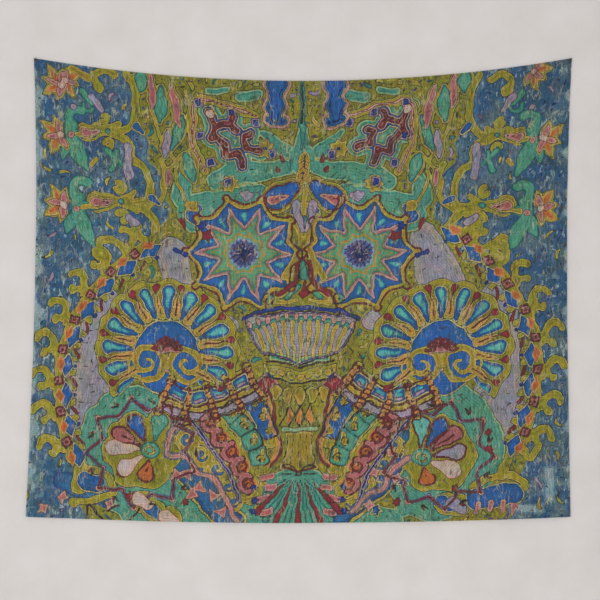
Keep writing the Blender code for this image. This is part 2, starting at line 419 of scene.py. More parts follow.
# %% [markdown]
# ## Shapes in tables
#
# Most of the print is single strokes, dots, squares and stars that differ only in place, size and ink. They
# are kept in short tables, one shape to a line and in millimetres, since a line is quicker to read, move and
# recolour than a call. Shapes of one ink melt together wherever they meet, and the inks cover one another in
# the order given above, so the order of the lines makes no difference.

# %% reading a table of shapes
def trail(x, y, width, *numbers):
    """Distance to a brush stroke of one half width along the smooth curve through the numbered points."""
    return along(x, y, smooth_path(np.reshape(numbers, (-1, 2)), 5))[2] - width


def bough(x, y, width, *numbers):
    """Distance to a trail with a knob at its end."""
    return join(trail(x, y, width, *numbers), circle(x, y, numbers[-2:], 1.4 * width))


# Each shape by name, with how many pairs of numbers its line starts with
TABLE_SHAPES = {
    "circle": (circle, 1),
    "star": (star, 1),
    "hook": (hook, 1),
    "volute": (volute, 1),
    "stroke": (stroke, 2),
    "blade": (blade, 2),
    "block": (block, 2),
    "trail": (trail, 0),
    "bough": (bough, 0),
}


def lay(draw, x, y, table, places=((0, 0),)):
    """Draws each line of a table, an ink, a shape and its numbers, once at each place."""
    for p, q in places:
        across, down = 1000 * x - p, 1000 * y - q
        for line in table.strip().splitlines():
            ink, shape, *words = line.split()
            make, pairs = TABLE_SHAPES[shape]
            numbers = [float(word) for word in words]
            points = [numbers[2 * at : 2 * at + 2] for at in range(pairs)]
            draw(ink, make(across, down, *points, *numbers[2 * pairs :]) / 1000)


print("shapes that a table can hold:", ", ".join(TABLE_SHAPES))


# %% [markdown]
# ## The rosettes and the shell fans
#
# Two big round motifs sit side by side under the middle of the cloth and two more below them, further out.
# A rosette is a ten-point star in a scalloped ring. Its coloured bands need no shapes of their own: they are
# steps of one star's distance. Folding the plane into equal slices lets one petal stand for all of them.

# %% rosette
def rosette(draw, x, y, at):
    """A banded star on a blue disc, ringed by ten olive arcs that bow inwards and meet in knobs."""
    across, down, _ = sector(x, y, at, 10, TURN / 20)
    radius, bend = np.hypot(across, down), np.abs(np.arctan2(down, across)) / (TURN / 20)
    rim = radius - (0.127 + 0.031 * bend**1.7)
    draw("azure", rim)
    lay(draw, across, down, "teal stroke 96 0 112 0 4 8.5")
    draw("bloom", star(x, y, at, 10, 0.154, 0.080))
    knobs = sector(x, y, at, 10)
    ring = join(np.abs(rim - 0.0075) - 0.0062, circle(knobs[0], knobs[1], (0.168, 0), 0.0095))
    draw("gilt", ring - 0.001)
    draw("wine", np.maximum(np.abs(ring - 0.001) - 0.0030, 0.0078 - rim))
    draw("gold", ring)
    ray = sector(x, y, at, 18)
    draw("mauve", stroke(ray[0], ray[1], (0.012, 0), (0.040, 0), 0.0030, 0.0018) + 0.0006)
    ray = sector(x, y, at, 14, 0.2)
    lay(draw, ray[0], ray[1], "navy stroke 4 0 36 0 1.8 1.2")


# %% shell fan
FAN_BLADES = 16


def shell_fan(draw, x, y, at, side):
    """Blue drops and olive fingers in turn round a blue hub that holds two volutes and a small fan."""
    x, y = side * (x - at[0]), y - at[1]
    radius = np.hypot(x, y)
    open_side = (np.abs(np.arctan2(x, -y)) - 2.35) * radius

    def lay_open(ink, shape):
        draw(ink, np.maximum(shape, open_side))

    fringe = np.abs(radius - 0.196 - 0.004 * np.cos(FAN_BLADES * np.arctan2(x, -y))) - 0.008
    lay_open("gilt", radius - 0.200)
    lay_open("gilt", fringe)
    lay_open("flame", np.abs(fringe + 0.012) - 0.0022)
    draw("azure", circle(x, 0.86 * y, (0, 0.018), 0.092))
    across, down, _ = sector(x, y, (0, 0), FAN_BLADES, -TURN / 4)
    lay(lay_open, across, down, """
        azure stroke 98 0 168 0 5 19.2
        teal stroke 118 0 170 0 2 11.5
    """)
    across, down, _ = sector(x, y, (0, 0), FAN_BLADES, -TURN / 4 + TURN / (2 * FAN_BLADES))
    lay(lay_open, across, down, """
        gold stroke 104 0 162 0 13.8 3.4
        wine stroke 105 0 172 0 1.9 1.5
        wine stroke 166 0 186 0 1 11
    """)
    lay_open("flame", np.abs(stroke(across, down, (0.106, 0), (0.150, 0), 0.0066, 0.0026)) - 0.0014)
    for turn in (-1, 1):
        lay(draw, turn * x, y, "gold volute 57 38 3 36 1.25 9.8 -0.9 -1")
    ray = sector(x, y, (0, 0.008), 22)
    draw("wine", np.maximum(stroke(ray[0], ray[1], (0.018, 0), (0.044, 0), 0.0018, 0.0044), y - 0.004))
    draw("rose", np.maximum(circle(x, y, (0, 0.006), 0.036), y - 0.006))
    draw("leaf", np.maximum(circle(x, y, (0, 0.010), 0.020), -y + 0.004))
    lay(draw, x, y, """
        leaf block 0 28 12 18
        gold stroke -18 58 18 58 5
        gold stroke 0 10 0 45 2.6
        rose circle 0 58 5.5
    """)


# %% [markdown]
# ## The goblet
#
# A footed bowl stands on the centre line and everything leans on it. It is drawn once for both halves by
# using the distance from the centre line in place of x. Its outline is one formula per storey: a bulging
# bowl, a green band, a string of beads, a row of lobes, a crossed waist and a bundle of reeds.

# %% the bowl of the goblet
FLUTES = 84
BEAD_PITCH = 0.026


def goblet_bowl(draw, x, y):
    """A bulging bowl with radiating flutes, then a green band and a string of beads round its neck."""
    out = np.abs(x)
    wall = 0.158 - 0.075 * np.clip((y - 0.70) / 0.12, 0, 1) ** 2
    bowl = np.maximum.reduce((out - wall, 0.672 + 0.10 * out - y, y - 0.832 + 0.30 * out))
    draw("dove", bowl)
    draw("mauve", np.abs(bowl + 0.005) - 0.0022)
    draw("line", np.abs(bowl + 0.001) - 0.0022)
    lay(draw, out, y, """
        navy stroke 0 664 110 672 6
        navy stroke 110 672 165 700 6
    """)
    across, down, _ = sector(x, y, (0, 1.05), FLUTES, TURN / 4)
    inside = bowl + 0.006
    flute = stroke(across, down, (0.20, 0), (0.345, 0), 0.0030, 0.0066)
    draw("gold", np.maximum(flute, inside) + 0.0006)
    draw("leaf", np.maximum(circle(across, down, (0.352, 0), 0.0105), inside))
    across, down, _ = sector(x, y, (0, 1.05), FLUTES, TURN / 4 + TURN / (2 * FLUTES))
    draw("rose", np.maximum(stroke(across, down, (0.358, 0), (0.368, 0), 0.0050), inside + 0.001))
    lay(draw, x, y + 0.20 * out, """
        sea block 0 823 88 12
        line block 0 838 100 2.8
    """)
    row = y + 0.22 * out
    lay(draw, x, row, """
        gilt block 0 868 105 18
        line block 0 889 108 2.6
    """)
    bead = np.mod(x + BEAD_PITCH / 2, BEAD_PITCH) - BEAD_PITCH / 2
    draw("gold", np.maximum(circle(bead, row, (0, 0.868), 0.0098), out - 0.10))
    draw("leaf", np.maximum(circle(bead, row, (0, 0.877), 0.0045), out - 0.10))


# %% the foot of the goblet
def goblet_foot(draw, x, y):
    """A row of lobes, a crossed waist and a bundle of reeds between two curved sides."""
    out = np.abs(x)
    for place, top in ((0.0, 0.916), (0.034, 0.912), (0.068, 0.906)):
        lobe = stroke(out, y, (place, top), (place, top + 0.024), 0.0155, 0.008)
        draw("gold", lobe)
        draw("line", np.abs(lobe - 0.0015) - 0.0016)
    reeds = np.maximum(out - (0.036 + 0.55 * np.clip(y - 1.10, 0, 1)), np.abs(y - 1.085) - 0.055)
    draw("gold", reeds)
    draw("sea", np.maximum(stroke(out, y, (0.012, 1.03), (0.012, 1.12), 0.0048), reeds))
    draw("leaf", np.maximum(stroke(out, y, (0.026, 1.04), (0.028, 1.11), 0.0036), reeds + 0.002))
    lay(draw, out, y, """
        flame stroke 0 963 0 998 4.5 6
        flame stroke 30 963 30 998 4.5 6
        line stroke 0 950 30 1012 2.4
        line stroke 30 950 0 1012 2.4
        line stroke 30 950 55 1012 2.4
        sea block 0 1020 50 6
        line stroke 0 1035 0 1130 1.7
        line stroke 19 1035 24 1130 1.7
        line stroke 33 1035 44 1130 1.7
        wine stroke 0 1142 48 1134 3.6 2.4
        wine trail 4.2 98 895 78 935 70 1000 52 1060 56 1100 80 1128
        flame trail 3.6 109 895 89 935 81 1000 63 1060 67 1100 91 1128
        rose block 96 886 23 23 0.785398163
        wine block 96 888 19 19 0.785398163
        navy stroke 75 875 94 856 3.5
    """)


# %% [markdown]
# ## Bridges and hanging chains
#
# Between the goblet and each fan runs a bridge with ringed posts and blue windows. Below it hang three
# chains, side by side: scrolls, scallops and shells. A chain is laid out by travelling along a curve and
# repeating one link, so its links lean with the curve.

# %% bridge
def bridge(draw, x, y, path):
    """Windows between posts: the place along the path gives the bay, the place across it the storey."""
    travelled, offset, _, total = along(x, y, path)
    past = np.maximum(-travelled, travelled - total)
    offset = -0.80 * offset
    bay, _ = repeat(travelled, total, 4)

    def lay_within(ink, shape):
        draw(ink, np.maximum(shape, past))

    lay_within("gilt", np.abs(offset) - 0.042)
    lay_within("gold", np.abs(offset - 0.0095) - 0.0056)
    lay(lay_within, bay, offset, """
        azure block 0 -16 22 12.5
        teal block 0 -18 14 5
        mauve block 0 24.5 26 7
        mauve block 0 -9 15 3.2
    """)
    for storey in (0.0030, 0.0160, -0.034, 0.037):
        lay_within("wine", np.abs(offset - storey) - 0.0017)
    post, _ = repeat(travelled + total / 8, total * 1.25, 5)
    shaft = block(post, offset, (0, 0), (0.0085, 0.040))
    draw("gold", np.maximum(shaft, past - 0.008))
    draw("flame", np.maximum(shaft + 0.004, past - 0.008))
    draw("wine", np.maximum(np.abs(shaft) - 0.0014, past - 0.009))
    for storey in (-0.038, 0.002, 0.038):
        ring = np.maximum(circle(post, offset, (0, storey), 0.0125), past - 0.012)
        draw("gold", ring)
        draw("wine", np.abs(ring) - 0.0013, ring + 0.0100)


# %% chains
def scroll_chain(draw, x, y, path, count):
    """Rose C-scrolls, each an arc closed by a curl, over an orange ground with a violet edge."""
    travelled, offset, near, total = along(x, y, path)
    link, _ = repeat(travelled, total, count)
    offset = -offset
    draw("gilt", near - 0.036)
    draw("mauve", np.maximum(np.abs(offset + 0.036) - 0.0060, near - 0.042))
    draw("navy", np.maximum(np.abs(offset + 0.036) - 0.0024, near - 0.040))
    draw("flame", np.hypot(0.86 * link, offset) - 0.027)
    arc = hook(link, offset, (0.0, 0.002), 0.0215, -1.9, 1.9, 0.0085)
    draw("rose", arc)
    draw("wine", np.abs(arc) - 0.0024)
    lay(draw, link, offset, """
        gold circle 0 4 19
        wine volute 4 4 1 11 1.2 2.8 0.6
    """)


def shell_chain(draw, x, y, path, count, ink):
    """Scallops: a cup of one ink in a dark outline, with an olive cap lying in it."""
    travelled, offset, near, total = along(x, y, path)
    link, _ = repeat(travelled, total, count)
    offset = -offset
    cup = block(link, offset, (0, 0), (0.0170, 0.0180)) - 0.008
    draw("gilt", near - 0.032)
    draw(ink, cup)
    draw("line", np.maximum(np.abs(cup - 0.001) - 0.0026, -offset - 0.016))
    lay(draw, link, offset, """
        gold circle 4 6 11.5
        gold stroke -12 16 6 12 5.5
        line volute 5 6 1 9 1.1 2 2
    """)


# %% [markdown]
# ## The medallions
#
# A round bed of green holds a zigzag line with a bead on each corner and, inside it, a flower whose petals
# are all of different inks. The zigzag is the outline of a star, thickened.

# %% medallion
ZIGZAG_POINTS = 9


def medallion(draw, x, y, at, petals, phase, heart):
    """The zigzag, the olive flower bed and its petals, each given as an angle, an ink and a length."""
    bearing = np.arctan2(y - at[1], x - at[0])
    draw("sea", circle(x, y, at, 0.182 + 0.012 * np.cos(3 * bearing + 1)))
    draw("gilt", circle(x, y, at, 0.106 + 0.007 * np.cos(6 * bearing)))
    zigzag = star(x, y, at, ZIGZAG_POINTS, 0.160, 0.120, phase)
    draw("mauve", np.abs(zigzag) - 0.0044)
    draw("wine", np.abs(zigzag) - 0.0026)
    tips = sector(x, y, at, ZIGZAG_POINTS, phase)
    lay(draw, tips[0], tips[1], "rose circle 160 0 7.5")
    notches = sector(x, y, at, ZIGZAG_POINTS, phase + TURN / (2 * ZIGZAG_POINTS))
    lay(draw, notches[0], notches[1], """
        mauve circle 120 0 7
        line stroke 156 -12 148 6 2.2 4.8
        wine stroke 162 2 150 10 2.2 3.8
    """)
    for angle, ink, reach in petals:
        aim = np.array((math.cos(angle), math.sin(angle)))
        start, end = aim * 0.034 + heart, aim * reach + heart
        draw("gilt", stroke(x, y, start, end, 0.012, 0.034))
        petal = stroke(x, y, start, end, 0.004, 0.0240)
        draw(ink, petal)
        if ink != "leaf":
            draw("wine", np.abs(petal + 0.001) - 0.0026)
        if ink in ("rose", "flame"):
            vein_start, vein_end = aim * 0.05 + heart, aim * (reach - 0.006) + heart
            draw("wine", stroke(x, y, vein_start, vein_end, 0.0012, 0.0030))
    draw("leaf", circle(x, y, heart, 0.026))
    draw("gold", np.abs(circle(x, y, heart, 0.012)) - 0.0020)


# %% [markdown]
# ## The arch and the outer columns
#
# A beaded border climbs each side as a pointed arch, with hooked leaves outside it. Beyond it a column of
# night blue carries green scrolls, lilies and olive boughs.

# %% arch border
def arch_border(draw, x, y, path, count, side):
    """Pink squares, orange lozenges and blue darts in turn, olive tabs inside and hooked leaves outside."""
    travelled, offset, near, total = along(x, y, path)
    place, _ = repeat(travelled, total, count)
    offset = -side * offset
    half = total / count / 2
    seam = np.abs(place) - half
    draw("gilt", near - 0.018)
    draw("azure", (0.55 * np.abs(seam) + np.abs(offset - 0.016) - 0.020) * 0.85)
    draw("flame", (np.abs(seam) * 0.50 + np.abs(offset + 0.002) - 0.0125) * 0.9)
    square = block(place, offset, (0, -0.002), (0.0125, 0.0125), 0.15)
    draw("rose", square)
    draw("wine", np.abs(square + 0.001) - 0.0024)
    lay(draw, np.abs(place) - half * 0.5, offset, "gilt block 0 34 8.5 11")
    lay(draw, seam, offset, "navy block 0 40 6 5 -0.4")
    lay(draw, place, offset, """
        wine block 0 -2 3.5 3.5 0.15
        wine block 2 38 17 4.6 0.5
        gilt hook -2 -56 24 2.7 1.75 10
        gilt stroke 6 -14 -20 -46 12 9
        gilt circle 21 -50 11.5
        gilt stroke -6 -30 22 -22 8 5
    """)


# %% fleur, lily and scroll
LILY_PETALS = ((-1.5, 0.050), (-0.75, 0.062), (0.05, 0.050), (0.8, 0.064), (1.6, 0.046))


def fleur(draw, x, y, at, turn, size):
    """A long hollow lobe round a pink drop, with a round curl either side and two barbs behind."""
    across = (np.cos(turn) * (x - at[0]) + np.sin(turn) * (y - at[1])) / size
    down = np.abs(np.cos(turn) * (y - at[1]) - np.sin(turn) * (x - at[0])) / size

    def lay_sized(ink, shape):
        draw(ink, size * shape)

    lay(lay_sized, across, down, """
        gilt stroke 0 0 62 0 10 27.5
        gilt hook 4 37 10.5 -2.6 2.1 8.5
        gilt stroke 0 4 -34 22 10 7
        gold stroke 24 0 66 0 5 17.5
        rose stroke 26 0 66 0 3 11.5
        leaf block 2 0 6.5 6.5 0.785398163
    """)
    vein = stroke(across, down, (0.032, 0), (0.062, 0), 0.0015, 0.006)
    lay_sized("line", np.abs(vein) - 0.0010)


def lily(draw, x, y, at, turn, reach=1.0):
    """Five ragged petals that spread one way from a pale throat, streaked with pink and orange in turn."""
    for number, (angle, length) in enumerate(LILY_PETALS):
        aim = reach * length * np.array((math.cos(turn + angle), math.sin(turn + angle)))
        petal = blade(x, y, at, aim + at, 0.0155 * reach)
        draw("gilt", petal - 0.001)
        draw("gold", petal + 0.0030)
        draw("flame" if number % 2 else "rose", blade(x, y, at, 0.80 * aim + at, 0.0085 * reach))
    draw("ivory", circle(x, y, at, 0.010 * reach))


def scroll(draw, x, y, at, size):
    """A stout hook that runs down into a leaf on a blue ground, with a point inwards where the two meet."""

    def lay_sized(ink, shape):
        draw(ink, size * shape)
        if ink == "leaf":
            draw("azure", size * (shape + 0.003))

    lay(lay_sized, (at[0] - x) / size, (y - at[1]) / size, """
        leaf hook 10 -46 22.5 3.55 1.70 13
        leaf blade -10 0 36 92 22.5
        leaf blade -12 10 -30 70 15
        leaf stroke -10 -26 -4 26 14.5
        leaf stroke 0 0 64 -6 15 3
        gold stroke 10 0 52 -5 6.5 2.2
        rose circle -6 4 7.5
    """)


# %% [markdown]
# ## The whole sheet
#
# Everything is placed here, from the centre line and down from the top edge. Most motifs stand on both
# sides, so they are drawn once on the distance from the centre line. A few differ from side to side, which
# keeps the sheet from looking stamped.

# %% broad grounds
# The inner edge of the night-blue columns: heights down the cloth, and distances from the centre line
COLUMN_EDGE = (
    (0.0, 0.12, 0.25, 0.38, 0.46, 0.55, 0.70, 0.82, 1.02, 1.30),
    (0.48, 0.475, 0.43, 0.375, 0.42, 0.495, 0.61, 0.65, 0.65, 0.60),
)


def field_scene(draw, x, y):
    """The broad grounds: columns of night blue, pale edges, green beds, grey hollows and the blue field."""
    out = np.abs(x)
    draw("night", np.interp(y, *COLUMN_EDGE) + 0.010 * np.sin(57 * y) - out)
    draw("haze", 0.746 - out + 0.014 * (x > 0) + 0.010 * np.sin(41 * y) + 0.006 * np.sin(113 * y))
    blue = join(
        stroke(x, y, (-0.310, 1.06), (-0.220, 1.22), 0.062, 0.060),
        stroke(x, y, (-0.345, 1.11), (-0.190, 1.29), 0.030, 0.036),
        stroke(x, y, (0.285, 1.06), (0.225, 1.17), 0.038, 0.042),
        stroke(x, y, (0.225, 1.18), (0.120, 1.28), 0.034, 0.026),
    )
    draw("pool", blue)
    draw("gilt", np.abs(blue - 0.004) - 0.0036)
    lay(draw, x, y, """
        dove stroke -575 680 -600 1020 62 56
        dove stroke -560 930 -400 960 36 24
        dove stroke -370 520 -350 600 50 35
        dove stroke 350 460 400 600 40 72
        dove stroke 565 660 580 1000 52 56
        dove stroke 570 900 520 940 36
        dove circle 205 705 30
        dove circle -205 720 30
        sea stroke -460 1060 -360 1200 155 100
        sea stroke -460 1260 -200 1290 50
        sea stroke 395 1050 360 1190 165 100
        sea stroke 300 1250 450 1240 30
        sea stroke -250 1280 250 1300 50
        sea circle 0 1250 120
        pool stroke -660 1190 -540 1235 30 26
        azure stroke 500 1235 600 1220 30
        azure stroke -600 1185 -570 1195 24
    """)


# %% pendants and corals
LIMBS = (
    (268, 95, 248, 140),
    (248, 140, 205, 128),
    (205, 128, 198, 108),
    (205, 128, 188, 150),
    (252, 140, 258, 175),
    (250, 165, 222, 192),
    (222, 192, 216, 222),
    (216, 222, 180, 216),
    (180, 216, 172, 252),
    (168, 165, 158, 200),
    (158, 200, 122, 204),
    (168, 165, 150, 158),
)
# Long leaves between the boughs: ink, both ends and the half width in millimetres
STREAKS = (
    ("leaf", (455, -10), (462, 55), 24),
    ("rose", (430, 0), (427, 100), 14),
    ("leaf", (402, 35), (405, 135), 24),
    ("rose", (372, 30), (350, 150), 15),
    ("leaf", (340, 115), (372, 215), 19),
    ("mauve", (385, 160), (392, 240), 15),
    ("leaf", (335, 225), (312, 300), 24),
    ("rose", (385, 270), (380, 325), 11),
)


def pendants(draw, x, y):
    """Two blue drips from the top edge, and a branching wine-red coral below each frame corner."""
    for side, shift in ((-1, 0.072), (1, 0.090)):
        own = side * x - shift
        drip = join(
            stroke(own, y, (0, -0.02), (0.006, 0.105), 0.027, 0.021) - 0.0045 * np.sin(110 * y),
            circle(own, y, (-0.014, 0.120), 0.013),
            circle(own, y, (0.020, 0.112), 0.012),
        )
        draw("azure", drip)
        draw("rose", np.abs(drip - 0.0065) - 0.0032)
        draw("navy", np.abs(drip + 0.009) - 0.0014)
    for side, shift, rise in ((-1, 0.0, 0.0), (1, 0.035, 0.01225)):
        own, level = side * x - shift, y + rise
        coral = [stroke(1000 * own, 1000 * level, limb[:2], limb[2:], 10, 12) for limb in LIMBS]
        reach = join(*coral) / 1000
        draw("sea", reach - 0.019)
        draw("azure", reach - 0.0040)
        draw("rose", reach + 0.0015)
        draw("wine", np.abs(reach + 0.0065) - 0.0028)
        lay(draw, own, level, "ivory circle 262 103 11.5")


# %% gold feather
def plume(draw, x, y):
    """A gold feather on the centre line, its ribs slanting up to both sides."""
    feather = stroke(x, y, (0.005, 0.225), (0.004, 0.285), 0.014, 0.021)
    draw("gold", feather)
    ribs = np.abs(np.mod(y - 0.9 * np.abs(x - 0.004), 0.017) - 0.0085) - 0.0022
    draw("flame", np.maximum(ribs - 0.0015, feather + 0.006))
    draw("line", np.maximum(ribs, feather + 0.003))
    lay(draw, x, y, "line stroke 5 220 4 290 1.8")


# %% upper field
def upper_field(draw, x, y):
    """Olive ground above the rosettes: leaf-green pools, blue pendants, pink bands with navy squares."""
    out = np.abs(x)
    pendants(draw, x, y)
    plume(draw, x, y)
    for ink, half in (("gilt", 13), ("flame", 5), ("rose", 2.2)):
        lay(draw, out, y, f"""
            {ink} stroke 290 62 205 78 {half}
            {ink} stroke 205 78 135 105 {half}
            {ink} stroke 312 80 315 200 {half}
            {ink} stroke 315 200 275 270 {half}
        """)
    squares = ((295, 72), (205, 95), (135, 125), (290, 170), (262, 245), (85, 215), (210, 300))
    lay(draw, out, y, """
        mauve block 0 0 12 12 0.2
        navy block 0 0 7.5 8.5 0.2
    """, squares)
    lay(draw, out, y, """
        gold star 0 0 7 30 19
        navy circle 0 0 5.5
    """, ((105, 200), (205, 305)))
    for ink, start, end, half in STREAKS:
        draw("gilt", blade(1000 * out, 1000 * y, start, end, half) / 1000 - 0.004)
        draw(ink, blade(1000 * out, 1000 * y, start, end, 0.75 * half) / 1000)
    for turn in (-2.3, -1.57, -0.85):
        end = (0.158 + 0.02 * math.cos(turn), 0.352 + 0.022 * math.sin(turn))
        draw("mauve", stroke(out, y, (0.158, 0.352), end, 0.004, 0.008))
        end = (0.345 - 0.022 * math.sin(turn + 1.57), 0.527 + 0.008 * turn)
        draw("navy", stroke(out, y, (0.345, 0.515), end, 0.004, 0.008))
    for place in range(5):
        aside = 0.012 * place
        start, end = (0.085 + aside, 0.285 + aside / 2), (0.10 + aside, 0.262 + place * 0.01)
        draw("line", stroke(out, y, start, end, 0.0018))
    lay(draw, out, y, """
        sea stroke 130 335 300 395 36 58
        sea stroke 50 255 180 275 26 34
        sea stroke 130 40 175 52 17
        sea stroke 215 30 270 40 11
        sea stroke 335 270 345 350 12 34
        sea stroke 50 205 115 150 24 10
        sea stroke 0 130 0 235 10 42
        sea stroke 200 250 250 300 12 26
        leaf stroke 0 -10 0 120 5 8.5
        leaf stroke 0 120 0 200 8.5 3.5
        line stroke 0 0 0 120 2.2 4.2
        gilt trail 5.5 450 0 430 100 400 200 365 240 360 300 335 360
        gilt trail 5.5 305 50 325 120 318 200 355 240 395 290 400 350
        azure stroke 315 405 275 425 20 12
        azure stroke 320 375 300 380 12
        gold block 315 375 16 15
        navy star 285 430 6 20 9
        wine star 270 462 5 24 11 0.5
        wine stroke 345 420 335 445 9 3
        wine stroke 55 235 59 213 7 3
        wine stroke 70 262 74 251 7 3
    """)


# %% moth and niche
def moth(draw, x, y):
    """Two blue wings and a pointed violet body hung between the rosettes, and an ogee niche under it."""
    out = np.abs(x - 0.008)
    wing = stroke(out, y, (0.030, 0.310), (0.080, 0.345), 0.018, 0.034)
    draw("gilt", wing - 0.011)
    draw("azure", wing)
    draw("wine", np.abs(wing + 0.0005) - 0.0020)
    draw("line", np.abs(circle(out, y, (0.100, 0.640), 0.016)) - 0.0025)
    lay(draw, out, y, """
        gilt stroke 0 400 0 455 46 12
        rose stroke 50 334 92 352 4 13.5
        wine stroke 52 336 96 352 1.2
        mauve stroke 26 362 6 440 13 5
        azure stroke 36 378 14 432 5.5 3.5
        gold stroke 0 325 0 385 9.5 6
        gold stroke 0 360 30 375 5
        leaf block 0 348 6 6 0.785398163
        leaf stroke 0 400 0 435 5
        gold stroke 0 470 55 575 10
        gold stroke 0 480 34 400 8 9
        line stroke 6 500 14 545 2.6
        line stroke 14 545 12 585 2.6
        wine stroke 18 530 20 585 6
        wine stroke 20 585 75 625 6 8
        leaf stroke 0 520 0 575 6 10
        leaf stroke 20 605 50 630 9
        gold stroke 30 600 100 655 5
        gold stroke 18 642 75 650 4.5 7.5
        wine block 0 625 12 12 0.785398163
        wine stroke 0 590 0 610 5
        leaf circle 100 640 16
        line circle 100 640 4
    """)


# %% outer columns
def columns(draw, x, y):
    """The boughs, fleurs, lilies and scrolls of the outer columns."""
    for side, lift in ((-1, 0.0), (1, -0.012)):
        own, level = side * x, y + lift
        lay(draw, own, level, """
            gilt bough 11.5 500 0 475 60 478 120 500 165 555 175 590 172
            gilt bough 11.5 545 185 500 200 485 250 455 270 435 330 445 370 500 375
            gilt bough 11.5 515 378 460 390 422 430 425 475 462 480 472 448
            gilt bough 8 440 385 405 360 390 300 405 250
            gilt bough 11.5 500 535 530 495 578 498 588 535 565 545
            gilt bough 11.5 535 15 565 5 592 25 580 55
        """)
        fleur(draw, own, level, (0.555, 0.180), 0.15, 1.0)
        fleur(draw, own, level, (0.515, 0.378), 0.10, 1.15)
        scroll(draw, own, level, (0.655, 0.20), 1.05)
        scroll(draw, own, level, (0.640, 0.405), 1.12)
        lily(draw, own, level, (0.690, 0.205), 0.3)
        lily(draw, own, level, (0.684, 0.405), -0.2)
        lay(draw, own, y, """
            leaf stroke 555 235 515 275 10 5
            leaf stroke 530 235 545 290 7 10
            leaf stroke 625 75 600 105 10
            leaf hook 610 115 16 1.2 1.6 6
            mauve stroke 500 215 495 300 10 13
            mauve stroke 600 85 570 120 10 7
            mauve stroke 475 435 500 420 12 8
            mauve circle 655 120 9
            gold stroke 590 265 600 280 6
            azure stroke 475 155 455 175 10 5
            azure stroke 430 360 410 375 10 5
        """)
    lily(draw, x, y, (-0.688, 0.062), 3.3, 0.95)
    lily(draw, x, y, (-0.676, 0.050), 0.2, 0.80)
    lily(draw, x, y, (0.655, 0.022), 0.6, 0.85)
    lay(draw, x, y, """
        leaf circle -682 56 12
        gold stroke -655 15 -610 30 10 12
        gilt stroke -615 1120 -618 1200 10 24
        gilt stroke 600 1090 570 1170 10 16
        gilt bough 10 -600 1150 -565 1155 -530 1180 -520 1215 -560 1235 -630 1250
        gilt bough 10 620 1030 655 1050 675 1090 650 1120 635 1100
        gilt bough 10 490 1200 530 1175 600 1170 640 1200 605 1220
        rose star -660 1235 4 19 9 0.2
        rose star -715 1270 4 19 9 0.9
        rose star -530 1252 4 19 9 0.3
        haze block 705 1200 16 50
        haze block 640 1265 50 14 0.05
    """)
    tongues = ((500, 1262), (535, 1255), (570, 1258), (600, 1270))
    lay(draw, x, y, "rose stroke 0 12 6 -12 5 8", tongues)


# %% rays
CURLS = ((-318, 1050, 1.15), (-276, 1098, 1.0), (-232, 1140, 0.95), (-196, 1190, 0.85), (-180, 1235, 0.7))
RAYS = 34


def rays(draw, x, y):
    """Wine and green rays in turn, fanning down from under the goblet's foot."""
    across, down, number = sector(x, y, (0.0, 1.135), RAYS, TURN / 4)
    ray = np.maximum(stroke(across, down, (0.035, 0), (0.175, 0), 0.0035, 0.0105), 1.165 - y)
    fan = np.maximum(ray, np.abs(x) - 0.95 * (y - 1.12))
    even = np.mod(number, 2) == 0
    draw("wine", np.where(even, fan + 0.0015, 1.0))
    draw("rose", np.where(even, fan + 0.0055, 1.0))
    draw("leaf", np.where(even, 1.0, fan + 0.001))


